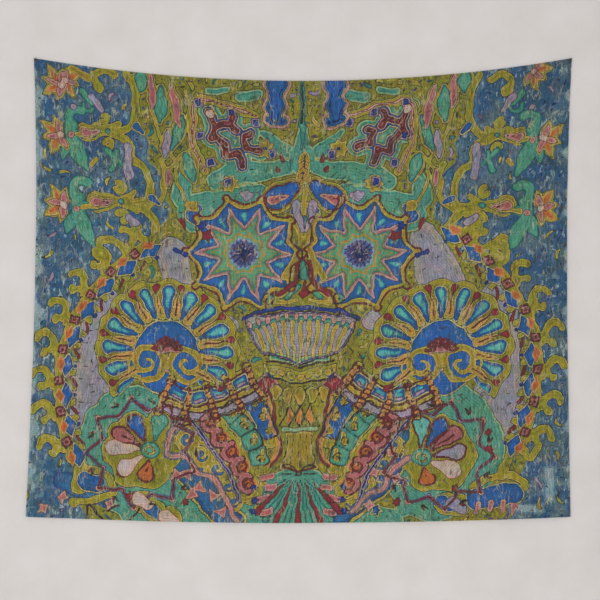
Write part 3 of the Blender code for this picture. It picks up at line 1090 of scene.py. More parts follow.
# %% lower field
def lower_field(draw, x, y):
    """Curls and the pink boughs on the blue field, and the small marks round the rays and along the foot."""
    rays(draw, x, y)
    for p, q, size in CURLS:
        lay(draw, x, y, f"""
            gold volute 0 0 6 {21 * size} 1.1 {8.5 * size} 1.9 -1
            gold stroke {22 * size} -4 44 -12 {8.5 * size} 10
        """, ((p, q),))
    lay(draw, -x, y, """
        gold volute 0 0 6 20 1.1 8 1.9 -1
        gold stroke 20 -4 36 -10 8
    """, ((-262, 1075), (-235, 1125), (-180, 1185), (-150, 1235)))
    for ink, left, right in (("mauve", 8.5, 9), ("rose", 5, 5)):
        lay(draw, x, y, f"""
            {ink} trail {left} -330 1000 -366 1045 -370 1100 -316 1110 -283 1150 -233 1172 -205 1225 -172 1290
            {ink} trail {right} 310 1110 262 1140 240 1190 194 1215 150 1265
        """)
    for p, q, turn in ((-345, 1160, 0.2), (-312, 1155, 1.2), (-280, 1195, 0.6)):
        lay(draw, x, y, f"rose star {p} {q} 3 24 10 {turn}")
    for p, q, turn in ((-240, 1215, 2.0), (-215, 1265, 1.0), (-300, 1215, 0.4)):
        lay(draw, x, y, f"rose star {p} {q} 3 24 10 {turn}")
    for p, q, turn in ((275, 1165, 0.3), (215, 1150, 1.3), (262, 1090, 0.7), (200, 1245, 0.2)):
        lay(draw, x, y, f"""
            rose star 0 0 4 20 9 {turn}
            azure star 18 16 5 18 8 {turn}
        """, ((p, q),))
    out = np.abs(x)
    lay(draw, out, y, """
        gold circle 22 -12 11
        rose block 0 0 19 9 0.2
        line stroke -20 12 20 16 1.8
    """, ((88, 1160), (78, 1192), (100, 1225), (90, 1262)))
    lay(draw, out, y, "navy star 0 0 6 14 7", ((128, 1190), (122, 1228), (128, 1262)))
    blooms = ((-315, 1235), (-470, 1225), (275, 1235), (440, 1200), (535, 1090), (535, 1040), (-500, 1160))
    lay(draw, x, y, "wine star 0 0 7 16 8", blooms)
    beds = ((-405, 1265), (-360, 1285), (-435, 1240), (415, 1245), (445, 1250))
    lay(draw, x, y, "gilt circle 0 0 34", beds)
    lay(draw, x, y, """
        azure stroke -417 1257 -393 1275 18 14
        ivory stroke -372 1277 -348 1295 18 14
        ivory stroke -447 1232 -423 1250 18 14
        azure stroke 403 1237 427 1255 18 14
        mauve stroke 433 1242 457 1260 18 14
        line stroke -50 1152 50 1152 2.2
        line stroke -590 1255 -590 1300 3.5
        line stroke -585 1250 -540 1300 3.5
        line stroke -480 1300 -445 1260 3.5
        line stroke -530 1270 -500 1250 3.5
    """)
    lay(draw, out, y, "line hook 30 1150 24 -1.9 1.2 2.8")
    for place in range(9):
        low = 0.016 * math.sin(4.1 * place)
        start = (-0.62 + low, 0.76 + 0.034 * place)
        draw("line", stroke(x, y, start, (-0.565 + 0.5 * low, 0.745 + 0.036 * place), 0.0014))


# %% [markdown]
# ## Filling in
#
# The artist left no bare ground, so small strokes fill whatever the motifs leave. The plane is cut into
# square cells, each holds one stroke at a jittered place and angle, and a stroke is kept only where every
# shape already drawn is far enough away. The jitter must be the same on every run, so it comes from a sine
# of the cell's number instead of a random generator.

# %% strokes in the gaps
def chance(column, row, key):
    """A steady number from 0 to 1 for each cell: the far digits of a sine, which jump about."""
    return np.mod(np.sin(column * 127.1 + row * 311.7 + key * 74.7) * 43758.5453, 1.0)


def fill_gaps(draw, fields, x, y, pitch, half, width, inks, clear, skip):
    """Small strokes in the free ground, one to a jittered cell, kept clear of the shapes already laid."""
    taken = np.minimum.reduce([fields[name] for name in fields if name not in skip])
    column, row = np.floor(x / pitch), np.floor(y / pitch)
    across = x - (column + 0.25 + 0.5 * chance(column, row, 1)) * pitch
    down = y - (row + 0.25 + 0.5 * chance(column, row, 2)) * pitch
    turn = TURN * chance(column, row, 3)
    across, down = (
        np.cos(turn) * across + np.sin(turn) * down,
        np.cos(turn) * down - np.sin(turn) * across,
    )
    bent = down + (across**2 - half**2 / 2) / (3 * half)
    mark = np.hypot(np.maximum(np.abs(across) - half, 0), bent) - width * (0.6 + 0.4 * across / half)
    pick = np.floor(chance(column, row, 4) * len(inks))
    for number, ink in enumerate(inks):
        draw(ink, np.where(pick == number, np.maximum(mark, clear - taken), 1.0))


# Cell size, half length and half width of the strokes, their inks, the clearance, and the inks that they may
# lie on: all in metres, coarse strokes before fine ones
BLUE_GROUNDS = ("night", "haze")
FILLINGS = (
    (0.050, 0.016, 0.0070, ("leaf", "gilt", "gold", "gilt", "mauve", "leaf"), 0.009, ("haze",)),
    (0.022, 0.009, 0.0026, ("gold", "line", "gold", "leaf", "line", "mauve"), 0.0050, ("haze",)),
    (0.058, 0.014, 0.0058, ("gilt", "mauve", "haze", "haze"), 0.012, BLUE_GROUNDS),
    (0.026, 0.008, 0.0026, ("haze", "haze", "navy", "haze"), 0.006, BLUE_GROUNDS),
    (0.034, 0.010, 0.0022, ("line",), 0.007, (*BLUE_GROUNDS, "sea", "dove")),
)


# %% [markdown]
# ## Laying out the print
#
# A small wave is added to both coordinates before anything is drawn, so that no line comes out
# ruler-straight: it stands for the artist's hand. The curves that the borders, bridges and chains follow are
# lists of points in millimetres.

# %% the whole print
def path_through(*numbers, each=5):
    """A smooth path in metres through points given in millimetres."""
    return smooth_path(np.reshape(numbers, (-1, 2)) / 1000, each)


ARCHES = (
    (-440, 500, -500, 545, -565, 610, -630, 700, -675, 810, -682, 920, -668, 1030, -640, 1120),
    (440, 455, 505, 515, 575, 600, 635, 690, 668, 780, 672, 880, 655, 990, 620, 1090),
)
BRIDGES = (
    (-385, 930, -310, 955, -220, 935, -130, 885),
    (135, 875, 200, 925, 280, 950, 380, 915),
)
SCROLLS_PATH = path_through(272, 985, 235, 1035, 193, 1090, 160, 1145, 138, 1205)
GREEN_SHELLS_PATH = path_through(215, 955, 168, 1005, 130, 1060, 108, 1125)
BLUE_SHELLS_PATH = path_through(150, 925, 112, 975, 85, 1045)
LEFT_PETALS = (
    (-2.10, "azure", 0.092),
    (-1.28, "leaf", 0.088),
    (-2.68, "rose", 0.098),
    (-3.10, "ivory", 0.104),
    (2.50, "ivory", 0.086),
    (1.72, "flame", 0.070),
)
RIGHT_PETALS = (
    (-1.58, "teal", 0.098),
    (-1.05, "azure", 0.104),
    (-0.62, "rose", 0.116),
    (-0.12, "mauve", 0.104),
    (0.42, "ivory", 0.094),
    (1.30, "flame", 0.062),
)


def print_fields(x, y):
    """Distance to every ink's shapes at each point: x from the centre line, y below the top edge."""
    fields = {ink[0]: np.full(x.shape, 1.0) for ink in INKS}

    def draw(ink, *shapes):
        fields[ink] = np.minimum.reduce((fields[ink], *shapes))

    x, y = (
        x + 0.0022 * np.sin(71 * y + 2.1 * np.sin(37 * x)) + 0.0011 * np.sin(167 * y + 53 * x),
        y + 0.0022 * np.sin(67 * x + 1.7 * np.sin(43 * y)) + 0.0011 * np.sin(151 * x - 61 * y),
    )
    field_scene(draw, x, y)
    columns(draw, x, y)
    upper_field(draw, x, y)
    moth(draw, x, y)
    rosette(draw, x, y, (-0.165, 0.508))
    rosette(draw, x, y, (0.165, 0.508))
    shell_fan(draw, x, y, (-0.380, 0.798), 1)
    shell_fan(draw, x, y, (0.403, 0.800), -1)
    medallion(draw, x, y, (-0.443, 1.098), LEFT_PETALS, 0.3, (-0.420, 1.090))
    medallion(draw, x, y, (0.392, 1.105), RIGHT_PETALS, 0.05, (0.345, 1.108))
    goblet_bowl(draw, x, y)
    goblet_foot(draw, x, y)
    for side, arch, span in zip((-1, 1), ARCHES, BRIDGES):
        arch_border(draw, x, y, path_through(*arch, each=4), 8, side)
        bridge(draw, x, y, path_through(*span))
        scroll_chain(draw, side * x, y, SCROLLS_PATH, 5)
        shell_chain(draw, side * x, y, GREEN_SHELLS_PATH, 4, "leaf")
        shell_chain(draw, side * x, y, BLUE_SHELLS_PATH, 3, "azure")
    lower_field(draw, x, y)
    for filling in FILLINGS:
        fill_gaps(draw, fields, x, y, *filling)
    return fields


print(len(INKS), "inks,", len(FILLINGS), "sorts of filling strokes")


# %% [markdown]
# ## The drape
#
# A flat rectangle pinned by two corners can't stay a rectangle. Its top edge sags, its sides draw in a
# little and its foot bows. The same four Bezier edges that shaped the CAD model bound a Coons patch here: a
# blend of opposite edges, less the plain blend of the corners. It turns any place on the flat cloth, u from
# the left edge and v from the top, into a place on the wall.
#
# Out from the wall the cloth is nearly flat. Slow swells hang down from the pins, and the lower half stands
# a few millimetres further off. A cloth simulation would find such swells too, but at this size they are a
# few sines, and a formula gives the same cloth every time.

# %% the hanging shape
CLOTH_WIDTH = 1.524
CLOTH_HEIGHT = 1.295
PIN_SPACING = 1.492
PIN_INSET = 0.007
SIDE_DROP = 1.283
TOP_SAG = 0.065
BOTTOM_BOW = 0.017
LEFT_FLARE, RIGHT_FLARE = 0.022, -0.005
LEFT_PULL, RIGHT_PULL = (0.018, 0.0), (0.025, 0.012)
FACE_Y = -0.0026
CLOTH_THICKNESS = 0.0007

corner_x = PIN_SPACING / 2 + PIN_INSET
top_left = np.array((-corner_x, PIN_INSET))
top_right = np.array((corner_x, PIN_INSET))
low_left = top_left - (LEFT_FLARE, SIDE_DROP)
low_right = top_right + (RIGHT_FLARE, -SIDE_DROP)
print("hanging corners:", top_left, top_right, low_left, low_right)


def bezier(share, start, first, second, end):
    """A cubic Bezier curve: the four points weighted by the terms of (share + (1 - share)) cubed."""
    t = share[..., None]
    return (1 - t) ** 3 * start + 3 * (1 - t) ** 2 * t * first + 3 * (1 - t) * t**2 * second + t**3 * end


def level_edge(share, left, right, sag):
    """The top or bottom edge: its handles drop by sag over 0.75, so the middle drops by sag."""
    handle_drop = np.array((0.0, -sag / 0.75))
    third = (right - left) / 3
    return bezier(share, left, left + third + handle_drop, right - third + handle_drop, right)


def side_edge(share, top, low, pull, inward):
    """A side edge: a straight fall whose two handles are pulled inwards."""
    drop = np.array((0.0, low[1] - top[1])) / 3
    first = top + drop + (inward * pull[0], 0.0)
    second = top + 2 * drop + (inward * pull[1], 0.0)
    return bezier(share, top, first, second, low)


def relief(u, v):
    """How far the cloth stands off the wall: slow upright swells, fainter near the pins, a lifted foot."""
    s, t = u / CLOTH_WIDTH, v / CLOTH_HEIGHT
    hold = np.clip(np.minimum(np.hypot(s, t), np.hypot(1 - s, t)) / 0.25, 0, 1) ** 1.5
    broad = 0.0026 * np.cos(TURN * (1.9 * s + 0.20 * t) + 0.5)
    swell = broad + 0.0014 * np.cos(TURN * (4.3 * s - 0.35 * t) + 1.9)
    swag = 0.0022 * np.cos(9.5 * np.hypot(s - 0.5, 1.1 * (t + 0.55)) * 2.2)
    lifted = 0.0040 * t * np.sin(math.pi * np.clip(s, 0, 1))
    body = 0.0034 + lifted + swell * (0.35 + 0.65 * t) + swag * (1 - 0.6 * t)
    return hold * np.clip(body, 0.0004, 0.013)


def hung(u, v, off=0.0):
    """Flat cloth (u, v) to the wall: the Coons patch of the four edges, with the relief and an offset."""
    s, t = u / CLOTH_WIDTH, v / CLOTH_HEIGHT
    top, low = level_edge(s, top_left, top_right, TOP_SAG), level_edge(s, low_left, low_right, BOTTOM_BOW)
    left = side_edge(t, top_left, low_left, LEFT_PULL, 1)
    right = side_edge(t, top_right, low_right, RIGHT_PULL, -1)
    s, t = s[..., None], t[..., None]
    corners = (
        (1 - s) * (1 - t) * top_left
        + s * (1 - t) * top_right
        + (1 - s) * t * low_left
        + s * t * low_right
    )
    flat = (1 - t) * top + t * low + (1 - s) * left + s * right - corners
    depth = FACE_Y - relief(u, v) + off
    return np.stack((flat[..., 0], depth, flat[..., 1]), axis=-1)


# %% a surface from a grid
def grid_piece(name, points, flat, face_back=False):
    """A surface from a grid of points, with the flat cloth's (u, v) in metres as its UV map."""
    rows, columns = points.shape[:2]
    number = np.arange(rows * columns).reshape(rows, columns)
    loops = np.stack((number[1:, :-1], number[1:, 1:], number[:-1, 1:], number[:-1, :-1]), axis=-1)
    loops = loops.reshape(-1, 4)
    if face_back:
        loops = loops[:, ::-1]
    mesh = bpy.data.meshes.new(name)
    mesh.vertices.add(rows * columns)
    mesh.vertices.foreach_set("co", points.reshape(-1, 3).astype(np.float32).ravel())
    mesh.loops.add(loops.size)
    mesh.loops.foreach_set("vertex_index", loops.astype(np.int32).ravel())
    mesh.polygons.add(len(loops))
    mesh.polygons.foreach_set("loop_start", np.arange(0, loops.size, 4, dtype=np.int32))
    mesh.update(calc_edges=True)
    mesh.polygons.foreach_set("use_smooth", np.ones(len(loops), bool))
    layer = mesh.uv_layers.new(name="flat_cloth")
    layer.data.foreach_set("uv", flat.reshape(-1, 2)[loops.ravel()].astype(np.float32).ravel())
    made = bpy.data.objects.new(name, mesh)
    bpy.context.scene.collection.objects.link(made)
    return made


def capped_tubes(name, points):
    """Closed tubes from an array of tubes, rings and spokes: quads round each tube and a cap on both ends.

    The spokes run anticlockwise seen from the last ring, which makes every face point outwards.
    """
    tubes, rings, spokes = points.shape[:3]
    number = np.arange(tubes * rings * spokes).reshape(tubes, rings, spokes)
    turned = np.roll(number, -1, axis=2)
    quads = np.stack((number[:, :-1], turned[:, :-1], turned[:, 1:], number[:, 1:]), axis=-1).reshape(-1, 4)
    caps = np.concatenate((number[:, 0, ::-1], number[:, -1]))
    mesh = bpy.data.meshes.new(name)
    mesh.from_pydata(points.reshape(-1, 3).tolist(), [], quads.tolist() + caps.tolist())
    mesh.polygons.foreach_set("use_smooth", np.arange(len(quads) + len(caps)) < len(quads))
    made = bpy.data.objects.new(name, mesh)
    bpy.context.scene.collection.objects.link(made)
    return made


def lay_print(piece, u, v):
    """Stores the distance to each ink's shapes, in metres, on the piece's points."""
    fields = print_fields(u.ravel() - CLOTH_WIDTH / 2, v.ravel())
    for ink, field in fields.items():
        stored = piece.data.attributes.new("ink_" + ink, "FLOAT", "POINT")
        stored.data.foreach_set("value", field.astype(np.float32))
    marks = [name for name in fields if name not in ("night", "haze")]
    nearest = np.minimum.reduce([fields[name] for name in marks])
    stored = piece.data.attributes.new("ink_nearest", "FLOAT", "POINT")
    stored.data.foreach_set("value", nearest.astype(np.float32))


# %% [markdown]
# ## Face and reverse
#
# The cloth is one thin layer, but its two faces look nothing alike: the ink lies on the front and only
# ghosts through to the back. So each face is its own surface, two thirds of a millimetre apart, and the hems
# close them at the edges. The front needs a fine grid, because the ink distances ride on its points.

# %% face and reverse
FACE_STEP = 0.0045
face_columns = round(CLOTH_WIDTH / FACE_STEP) + 1
face_rows = round(CLOTH_HEIGHT / FACE_STEP) + 1
u, v = np.meshgrid(np.linspace(0, CLOTH_WIDTH, face_columns), np.linspace(0, CLOTH_HEIGHT, face_rows))
cloth_face = grid_piece("cloth_face", hung(u, v), np.stack((u, v), axis=-1))
lay_print(cloth_face, u, v)
print("face", face_columns, "x", face_rows, "points")

u, v = u[::2, ::2], v[::2, ::2]
reverse_points = hung(u, v, CLOTH_THICKNESS)
cloth_reverse = grid_piece("cloth_reverse", reverse_points, np.stack((u, v), axis=-1), face_back=True)
lay_print(cloth_reverse, u, v)


# %% [markdown]
# ## Hems, stitches and label
#
# A cut edge frays, so each side is folded to the back over 12 mm and sewn down. The fold is a rolled profile
# carried along the edge: a half circle round the rim, then a flat that lies against the reverse. The printed
# side wraps round with it, so the hem goes on using the same ink distances. The seam shows as a row of short
# stitches 10.5 mm in from the edge, and a blank satin label is sewn to the back near the lower left corner.

# %% hems
HEM_WIDTH = 0.012
HEM_ROLL = 0.0009
edges = {
    "top_hem": ("v", 0.0, 1),
    "bottom_hem": ("v", CLOTH_HEIGHT, -1),
    "left_hem": ("u", 0.0, 1),
    "right_hem": ("u", CLOTH_WIDTH, -1),
}


def folded_hem(name, across, rim, inward):
    """A rolled profile along one edge: round the rim by a half circle, then flat along the back."""
    length = CLOTH_WIDTH if across == "v" else CLOTH_HEIGHT
    station = np.linspace(0, length, round(length / 0.0045) + 1)
    bend = np.linspace(-0.5, 0.5, 9) * math.pi
    reach = np.concatenate(([0.0014], 0.0004 - 0.0004 * np.cos(bend), np.linspace(0.002, HEM_WIDTH, 5)))
    depth = np.concatenate(([-0.00002], HEM_ROLL * (1 + np.sin(bend)) / 2 * 1.3 - 0.0001, [0.0011] * 5))
    depth[-1] = 0.0007
    run, reach = np.meshgrid(station, reach)
    depth = np.repeat(depth[:, None], run.shape[1], axis=1)
    side = rim + inward * reach
    u, v = (run, side) if across == "v" else (side, run)
    wrapped = rim - inward * reach
    back = depth > HEM_ROLL
    flat_u = np.where(back, wrapped, side) if across == "u" else run
    flat_v = np.where(back, wrapped, side) if across == "v" else run
    flip = (across == "u") != (inward == 1)
    hem = grid_piece(name, hung(u, v, depth), np.stack((flat_u, flat_v), axis=-1), face_back=flip)
    lay_print(hem, flat_u, flat_v)
    return hem


hems = [folded_hem(name + "_fold", *place) for name, place in edges.items()]
print("hems", [hem.name for hem in hems])


# %% stitches
STITCH_INSET = 0.0105
STITCH_PITCH = 0.0032
STITCH_WIDTH = 0.00055


def stitch_line(name, across, rim, inward):
    """A row of stitches: each a short bead, thick in its middle and sunk at both ends, on face and back."""
    length = CLOTH_WIDTH if across == "v" else CLOTH_HEIGHT
    count = round((length - 2 * STITCH_INSET) / STITCH_PITCH)
    centre = STITCH_INSET + STITCH_PITCH * (np.arange(count) + 0.5)
    share = np.linspace(-0.5, 0.5, 5)
    handed = inward if across == "v" else -inward
    turn = handed * np.linspace(0, TURN, 6, endpoint=False)
    run = centre[:, None, None] + STITCH_PITCH * 0.88 * share[None, :, None] + 0 * turn
    thick = STITCH_WIDTH / 2 * np.sqrt(1.02 - (2 * share) ** 2)[None, :, None]
    side = rim + inward * (STITCH_INSET + thick * np.cos(turn)) + 0 * run
    rows = []
    for lift in (-0.0001, 0.0013):
        u, v = (run, side) if across == "v" else (side, run)
        rows.append(hung(u, v, lift + thick * np.sin(turn) + 0 * run))
    return capped_tubes(name, np.concatenate(rows))


stitches = [stitch_line(name.replace("hem", "stitches"), *place) for name, place in edges.items()]
print("stitches", sum(len(row.data.polygons) for row in stitches), "faces")


# %% label
LABEL_LEFT, LABEL_TOP = 0.0123, 1.135
LABEL_WIDTH, LABEL_HEIGHT = 0.025, 0.040

s, t = np.meshgrid(np.linspace(0, 1, 21), np.linspace(0, 1, 31))
u, v = LABEL_LEFT + LABEL_WIDTH * s, LABEL_TOP + LABEL_HEIGHT * t
lift = 0.0012 + 0.0010 * t**2 + 0.0003 * np.sin(math.pi * s)
satin_label = grid_piece("satin_label", hung(u, v, lift), np.stack((u, v), axis=-1), face_back=True)
print("label", LABEL_WIDTH, "x", LABEL_HEIGHT, "m")


# %% [markdown]
# ## The printed cloth
#
# The real cloth is a plain-woven polyester with its colours heat-pressed into the face, so the ink has no
# thickness and takes the sheen of the weave. Each ink of the table becomes one layer: its stored distance is
# roughened a little, cut into bands by a ramp, and laid over the layers below wherever the distance is under
# the ink's last number. Over them all lie the artist's textures: broad shifts of tone, pencil strokes, and
# fine scratches of dark and pale. A painted shade also darkens the colour towards the right side and the top
# edge.
# The weave is a bump of two crossed sets of threads. Real threads are 0.4 mm apart, too fine to show from
# four metres, so they are drawn at 1.6 mm.

# %% steps of a node recipe
RAMP_LOW, RAMP_HIGH = -0.060, 0.006


def ramp_place(millimetres):
    """Where a distance in millimetres falls on the bands' ramp, from 0 to 1."""
    return min(max((millimetres / 1000 - RAMP_LOW) / (RAMP_HIGH - RAMP_LOW), 0.0), 1.0)


def noise(tree, place, scale, detail=2.0, stretch=None, turn=0.0):
    """Noise from 0 to 1 with the given number of lumps to the metre, stretched along turned axes if asked."""
    if stretch is not None:
        turned = {"Vector": place, "Scale": stretch, "Rotation": (0.0, 0.0, turn)}
        place = add(tree, "ShaderNodeMapping", turned).outputs["Vector"]
    return add(tree, "ShaderNodeTexNoise", {"Vector": place, "Scale": scale, "Detail": detail}).outputs["Fac"]


def maths(tree, operation, first, second, clamp=False):
    """One arithmetic step on two numbers."""
    return add(tree, "ShaderNodeMath", {0: first, 1: second}, operation=operation, use_clamp=clamp).outputs[0]


def between(tree, value, low, high, to_low=0.0, to_high=1.0):
    """Carries a value from one range to another, held at its ends."""
    feeds = {"Value": value, "From Min": low, "From Max": high, "To Min": to_low, "To Max": to_high}
    return add(tree, "ShaderNodeMapRange", feeds).outputs["Result"]


def over(tree, share, under, top, blend="MIX"):
    """Lays one colour over another by a share from 0 to 1."""
    mix = add(tree, "ShaderNodeMix", data_type="RGBA", blend_type=blend)
    for socket, value in ((mix.inputs[0], share), (mix.inputs[6], under), (mix.inputs[7], top)):
        if isinstance(value, bpy.types.NodeSocket):
            tree.links.new(value, socket)
        else:
            socket.default_value = value
    return mix.outputs[2]


# %% the weave
THREAD_MM = 1.6


def woven_bump(tree, flat, strength):
    """A plain weave: two crossed waves of threads, the upper of the two at each place."""
    waves = 1000 * math.pi / THREAD_MM
    scaled = add(tree, "ShaderNodeVectorMath", {0: flat, "Scale": waves}, operation="SCALE")
    parts = add(tree, "ShaderNodeSeparateXYZ", {0: scaled.outputs[0]})
    warp = maths(tree, "ABSOLUTE", maths(tree, "SINE", parts.outputs["X"], 0.0), 0.0)
    weft = maths(tree, "ABSOLUTE", maths(tree, "SINE", parts.outputs["Y"], 0.0), 0.0)
    threads = maths(tree, "MAXIMUM", warp, weft)
    bump = add(tree, "ShaderNodeBump", {"Height": threads, "Strength": strength, "Distance": 0.0003})
    return bump.outputs["Normal"]


# %% printed polyester
ECHO_LINE_PITCH = 0.0075


def printed_cloth(name, ghost):
    """The layered print on woven polyester; ghost fades it towards bare cloth, as on the reverse."""
    material, tree, shader = new_material(name)
    flat = add(tree, "ShaderNodeUVMap", uv_map="flat_cloth").outputs["UV"]
    wander = maths(tree, "SUBTRACT", noise(tree, flat, 95.0, 3.0), 0.5)
    grain = maths(tree, "SUBTRACT", noise(tree, flat, 330.0, 2.0), 0.5)
    rough = maths(
        tree, "ADD", maths(tree, "MULTIPLY", wander, 0.0036), maths(tree, "MULTIPLY", grain, 0.0018)
    )

    nearest = add(tree, "ShaderNodeAttribute", attribute_name="ink_nearest").outputs["Fac"]
    drift = maths(tree, "MULTIPLY", maths(tree, "SUBTRACT", noise(tree, flat, 22.0, 3.0), 0.5), 0.022)
    ripple = maths(tree, "ADD", maths(tree, "ADD", nearest, drift), rough)
    lap = maths(tree, "FRACT", maths(tree, "DIVIDE", ripple, ECHO_PITCH), 0.0)
    colour = steps(tree, lap, GROUND_BANDS)

    for ink, bands, reach in INKS:
        field = add(tree, "ShaderNodeAttribute", attribute_name="ink_" + ink).outputs["Fac"]
        field = maths(tree, "ADD", field, rough)
        stops = [(ramp_place(place), code) for place, code in bands]
        shade = steps(tree, between(tree, field, RAMP_LOW, RAMP_HIGH), stops)
        if ink == "night":
            shade = worn_night(tree, flat, shade)
        inside = maths(tree, "LESS_THAN", field, reach / 1000)
        colour = over(tree, inside, colour, shade)

    broad = between(tree, noise(tree, flat, 7.0, 3.0), 0.3, 0.7, 0.90, 1.10)
    pencil = between(tree, noise(tree, flat, 150.0, 3.0, (1.0, 0.22, 1.0), 0.5), 0.3, 0.7, 0.80, 1.20)
    phase = maths(tree, "MULTIPLY", ripple, TURN / ECHO_LINE_PITCH)
    echo = add(tree, "ShaderNodeMath", {0: phase}, operation="SINE")
    lines = between(tree, echo.outputs[0], -1.0, 1.0, 0.85, 1.15)
    warp = between(tree, noise(tree, flat, 260.0, 1.0, (1.0, 0.05, 1.0)), 0.3, 0.7, 0.91, 1.09)
    weft = between(tree, noise(tree, flat, 260.0, 1.0, (0.05, 1.0, 1.0)), 0.3, 0.7, 0.91, 1.09)
    tone = maths(tree, "MULTIPLY", maths(tree, "MULTIPLY", broad, pencil), lines)
    tone = maths(tree, "MULTIPLY", tone, maths(tree, "MULTIPLY", warp, weft))
    # Painted shade: the colour darkens towards the right side of the cloth and towards its top edge.
    sides = add(tree, "ShaderNodeSeparateXYZ", {0: flat})
    painted_shade_right = between(tree, sides.outputs["X"], 1.10, 1.45, 1.0, 0.90)
    painted_shade_top = between(tree, sides.outputs["Y"], 0.05, 0.55, 0.93, 1.02)
    tone = maths(tree, "MULTIPLY", tone, maths(tree, "MULTIPLY", painted_shade_right, painted_shade_top))
    warm = between(tree, noise(tree, flat, 26.0, 4.0), 0.32, 0.68, 0.84, 1.16)
    cool = between(tree, noise(tree, flat, 17.0, 3.0), 0.32, 0.68, 1.14, 0.84)
    tint = {0: maths(tree, "MULTIPLY", tone, warm), 1: tone, 2: maths(tree, "MULTIPLY", tone, cool)}
    colour = over(tree, 1.0, colour, add(tree, "ShaderNodeCombineColor", tint).outputs[0], "MULTIPLY")
    for turn, scale, ink, share in SCRATCHES:
        lines = noise(tree, flat, scale, 1.5, (1.0, 0.30, 1.0), turn)
        close = maths(tree, "ABSOLUTE", maths(tree, "SUBTRACT", lines, 0.5), 0.0)
        here = between(tree, noise(tree, flat, 14.0 + scale / 10, 2.0), 0.46, 0.62)
        drawn = maths(tree, "MULTIPLY", between(tree, close, 0.012, 0.030, share, 0.0), here)
        colour = over(tree, drawn, colour, paint(ink))
    if ghost:
        colour = over(tree, ghost, colour, paint("#DAD7CD"))
    feeds = {
        "Base Color": colour,
        "Roughness": 0.86,
        "Specular IOR Level": 0.25,
        "Sheen Weight": 0.08,
        "Sheen Roughness": 0.5,
        "Normal": woven_bump(tree, flat, 0.35),
    }
    finish_with(tree, shader, feeds)
    return material


# %% ground, worn blue and scratches
ECHO_PITCH = 0.030
GROUND_BANDS = (
    (0.0, "#77742A"),
    (0.20, "#8A8432"),
    (0.33, "#9C9448"),
    (0.39, "#6F6E2C"),
    (0.50, "#4C563C"),
    (0.55, "#827E34"),
    (0.68, "#8E7058"),
    (0.73, "#4F8060"),
    (0.88, "#9A9450"),
    (0.93, "#67662E"),
)
SCRATCHES = (
    (0.3, 60.0, "#3A3A32", 0.65),
    (1.9, 75.0, "#B5AE8C", 0.45),
    (1.2, 110.0, "#34403E", 0.55),
)


def worn_night(tree, flat, shade):
    """The blue columns look rubbed: pale flecks and darker pools that thin out towards the middle."""
    pools = between(tree, noise(tree, flat, 15.0, 4.0), 0.46, 0.62)
    shade = over(tree, maths(tree, "MULTIPLY", pools, 0.60), shade, paint("#5F7276"))
    flecks = between(tree, noise(tree, flat, 95.0, 3.0, (1.0, 0.45, 1.0), 0.4), 0.57, 0.61)
    patches = between(tree, noise(tree, flat, 9.0, 2.0), 0.42, 0.62)
    shade = over(tree, maths(tree, "MULTIPLY", flecks, patches), shade, paint("#8FA3A6"))
    dark = between(tree, noise(tree, flat, 70.0, 2.0), 0.60, 0.64)
    return over(tree, maths(tree, "MULTIPLY", dark, 0.5), shade, paint("#223A56"))


print(len(INKS), "inks over", len(GROUND_BANDS), "ground bands")


# %% [markdown]
# ## Plain finishes
#
# The sewing thread is a twisted polyester, matt with a little sheen. The label is a woven satin ribbon, whose
# long floats shine in one direction. The pins are turned from steel wire and headed in black polystyrene,
# which is moulded and so smooth, with a softly blurred gloss.

# %% thread, satin, plastic and steel
def spun_thread(name):
    """Twisted polyester thread: a slanting wave stands for the twist, at a real 0.4 mm pitch."""
    material, tree, shader = new_material(name)
    place = add(tree, "ShaderNodeTexCoord").outputs["Object"]
    strands = {"Vector": place, "Scale": 800.0, "Distortion": 1.0}
    twist = add(tree, "ShaderNodeTexWave", strands, bands_direction="DIAGONAL")
    tone = steps(tree, twist.outputs["Fac"], ((0.2, "#4A4A3C"), (0.8, "#6E6B55")), hard=False)
    bump = add(tree, "ShaderNodeBump", {"Height": twist.outputs["Fac"], "Strength": 0.4, "Distance": 0.0001})
    feeds = {"Base Color": tone, "Roughness": 0.7, "Sheen Weight": 0.15, "Normal": bump.outputs["Normal"]}
    finish_with(tree, shader, feeds)
    return material


def satin_ribbon(name):
    """Satin ribbon: fine ribs across, and a gloss drawn out along the floats."""
    material, tree, shader = new_material(name)
    flat = add(tree, "ShaderNodeUVMap", uv_map="flat_cloth").outputs["UV"]
    ribs = noise(tree, flat, 900.0, 1.0, (0.15, 1.0, 1.0))
    tone = steps(tree, ribs, ((0.3, "#D9D5CB"), (0.7, "#EDEAE2")), hard=False)
    bump = add(tree, "ShaderNodeBump", {"Height": ribs, "Strength": 0.3, "Distance": 0.0001})
    feeds = {
        "Base Color": tone,
        "Roughness": 0.38,
        "Anisotropic": 0.4,
        "Sheen Weight": 0.1,
        "Normal": bump.outputs["Normal"],
    }
    finish_with(tree, shader, feeds)
    return material


def moulded_plastic(name):
    """Black polystyrene: a trace of unevenness from the mould in tone and gloss."""
    material, tree, shader = new_material(name)
    place = add(tree, "ShaderNodeTexCoord").outputs["Object"]
    cloud = noise(tree, place, 350.0, 3.0)
    tone = steps(tree, cloud, ((0.3, "#141415"), (0.7, "#1F2022")), hard=False)
    bump = add(tree, "ShaderNodeBump", {"Height": cloud, "Strength": 0.08, "Distance": 0.0002})
    gloss = between(tree, cloud, 0.3, 0.7, 0.28, 0.38)
    feeds = {"Base Color": tone, "Roughness": gloss, "IOR": 1.59, "Normal": bump.outputs["Normal"]}
    finish_with(tree, shader, feeds)
    return material


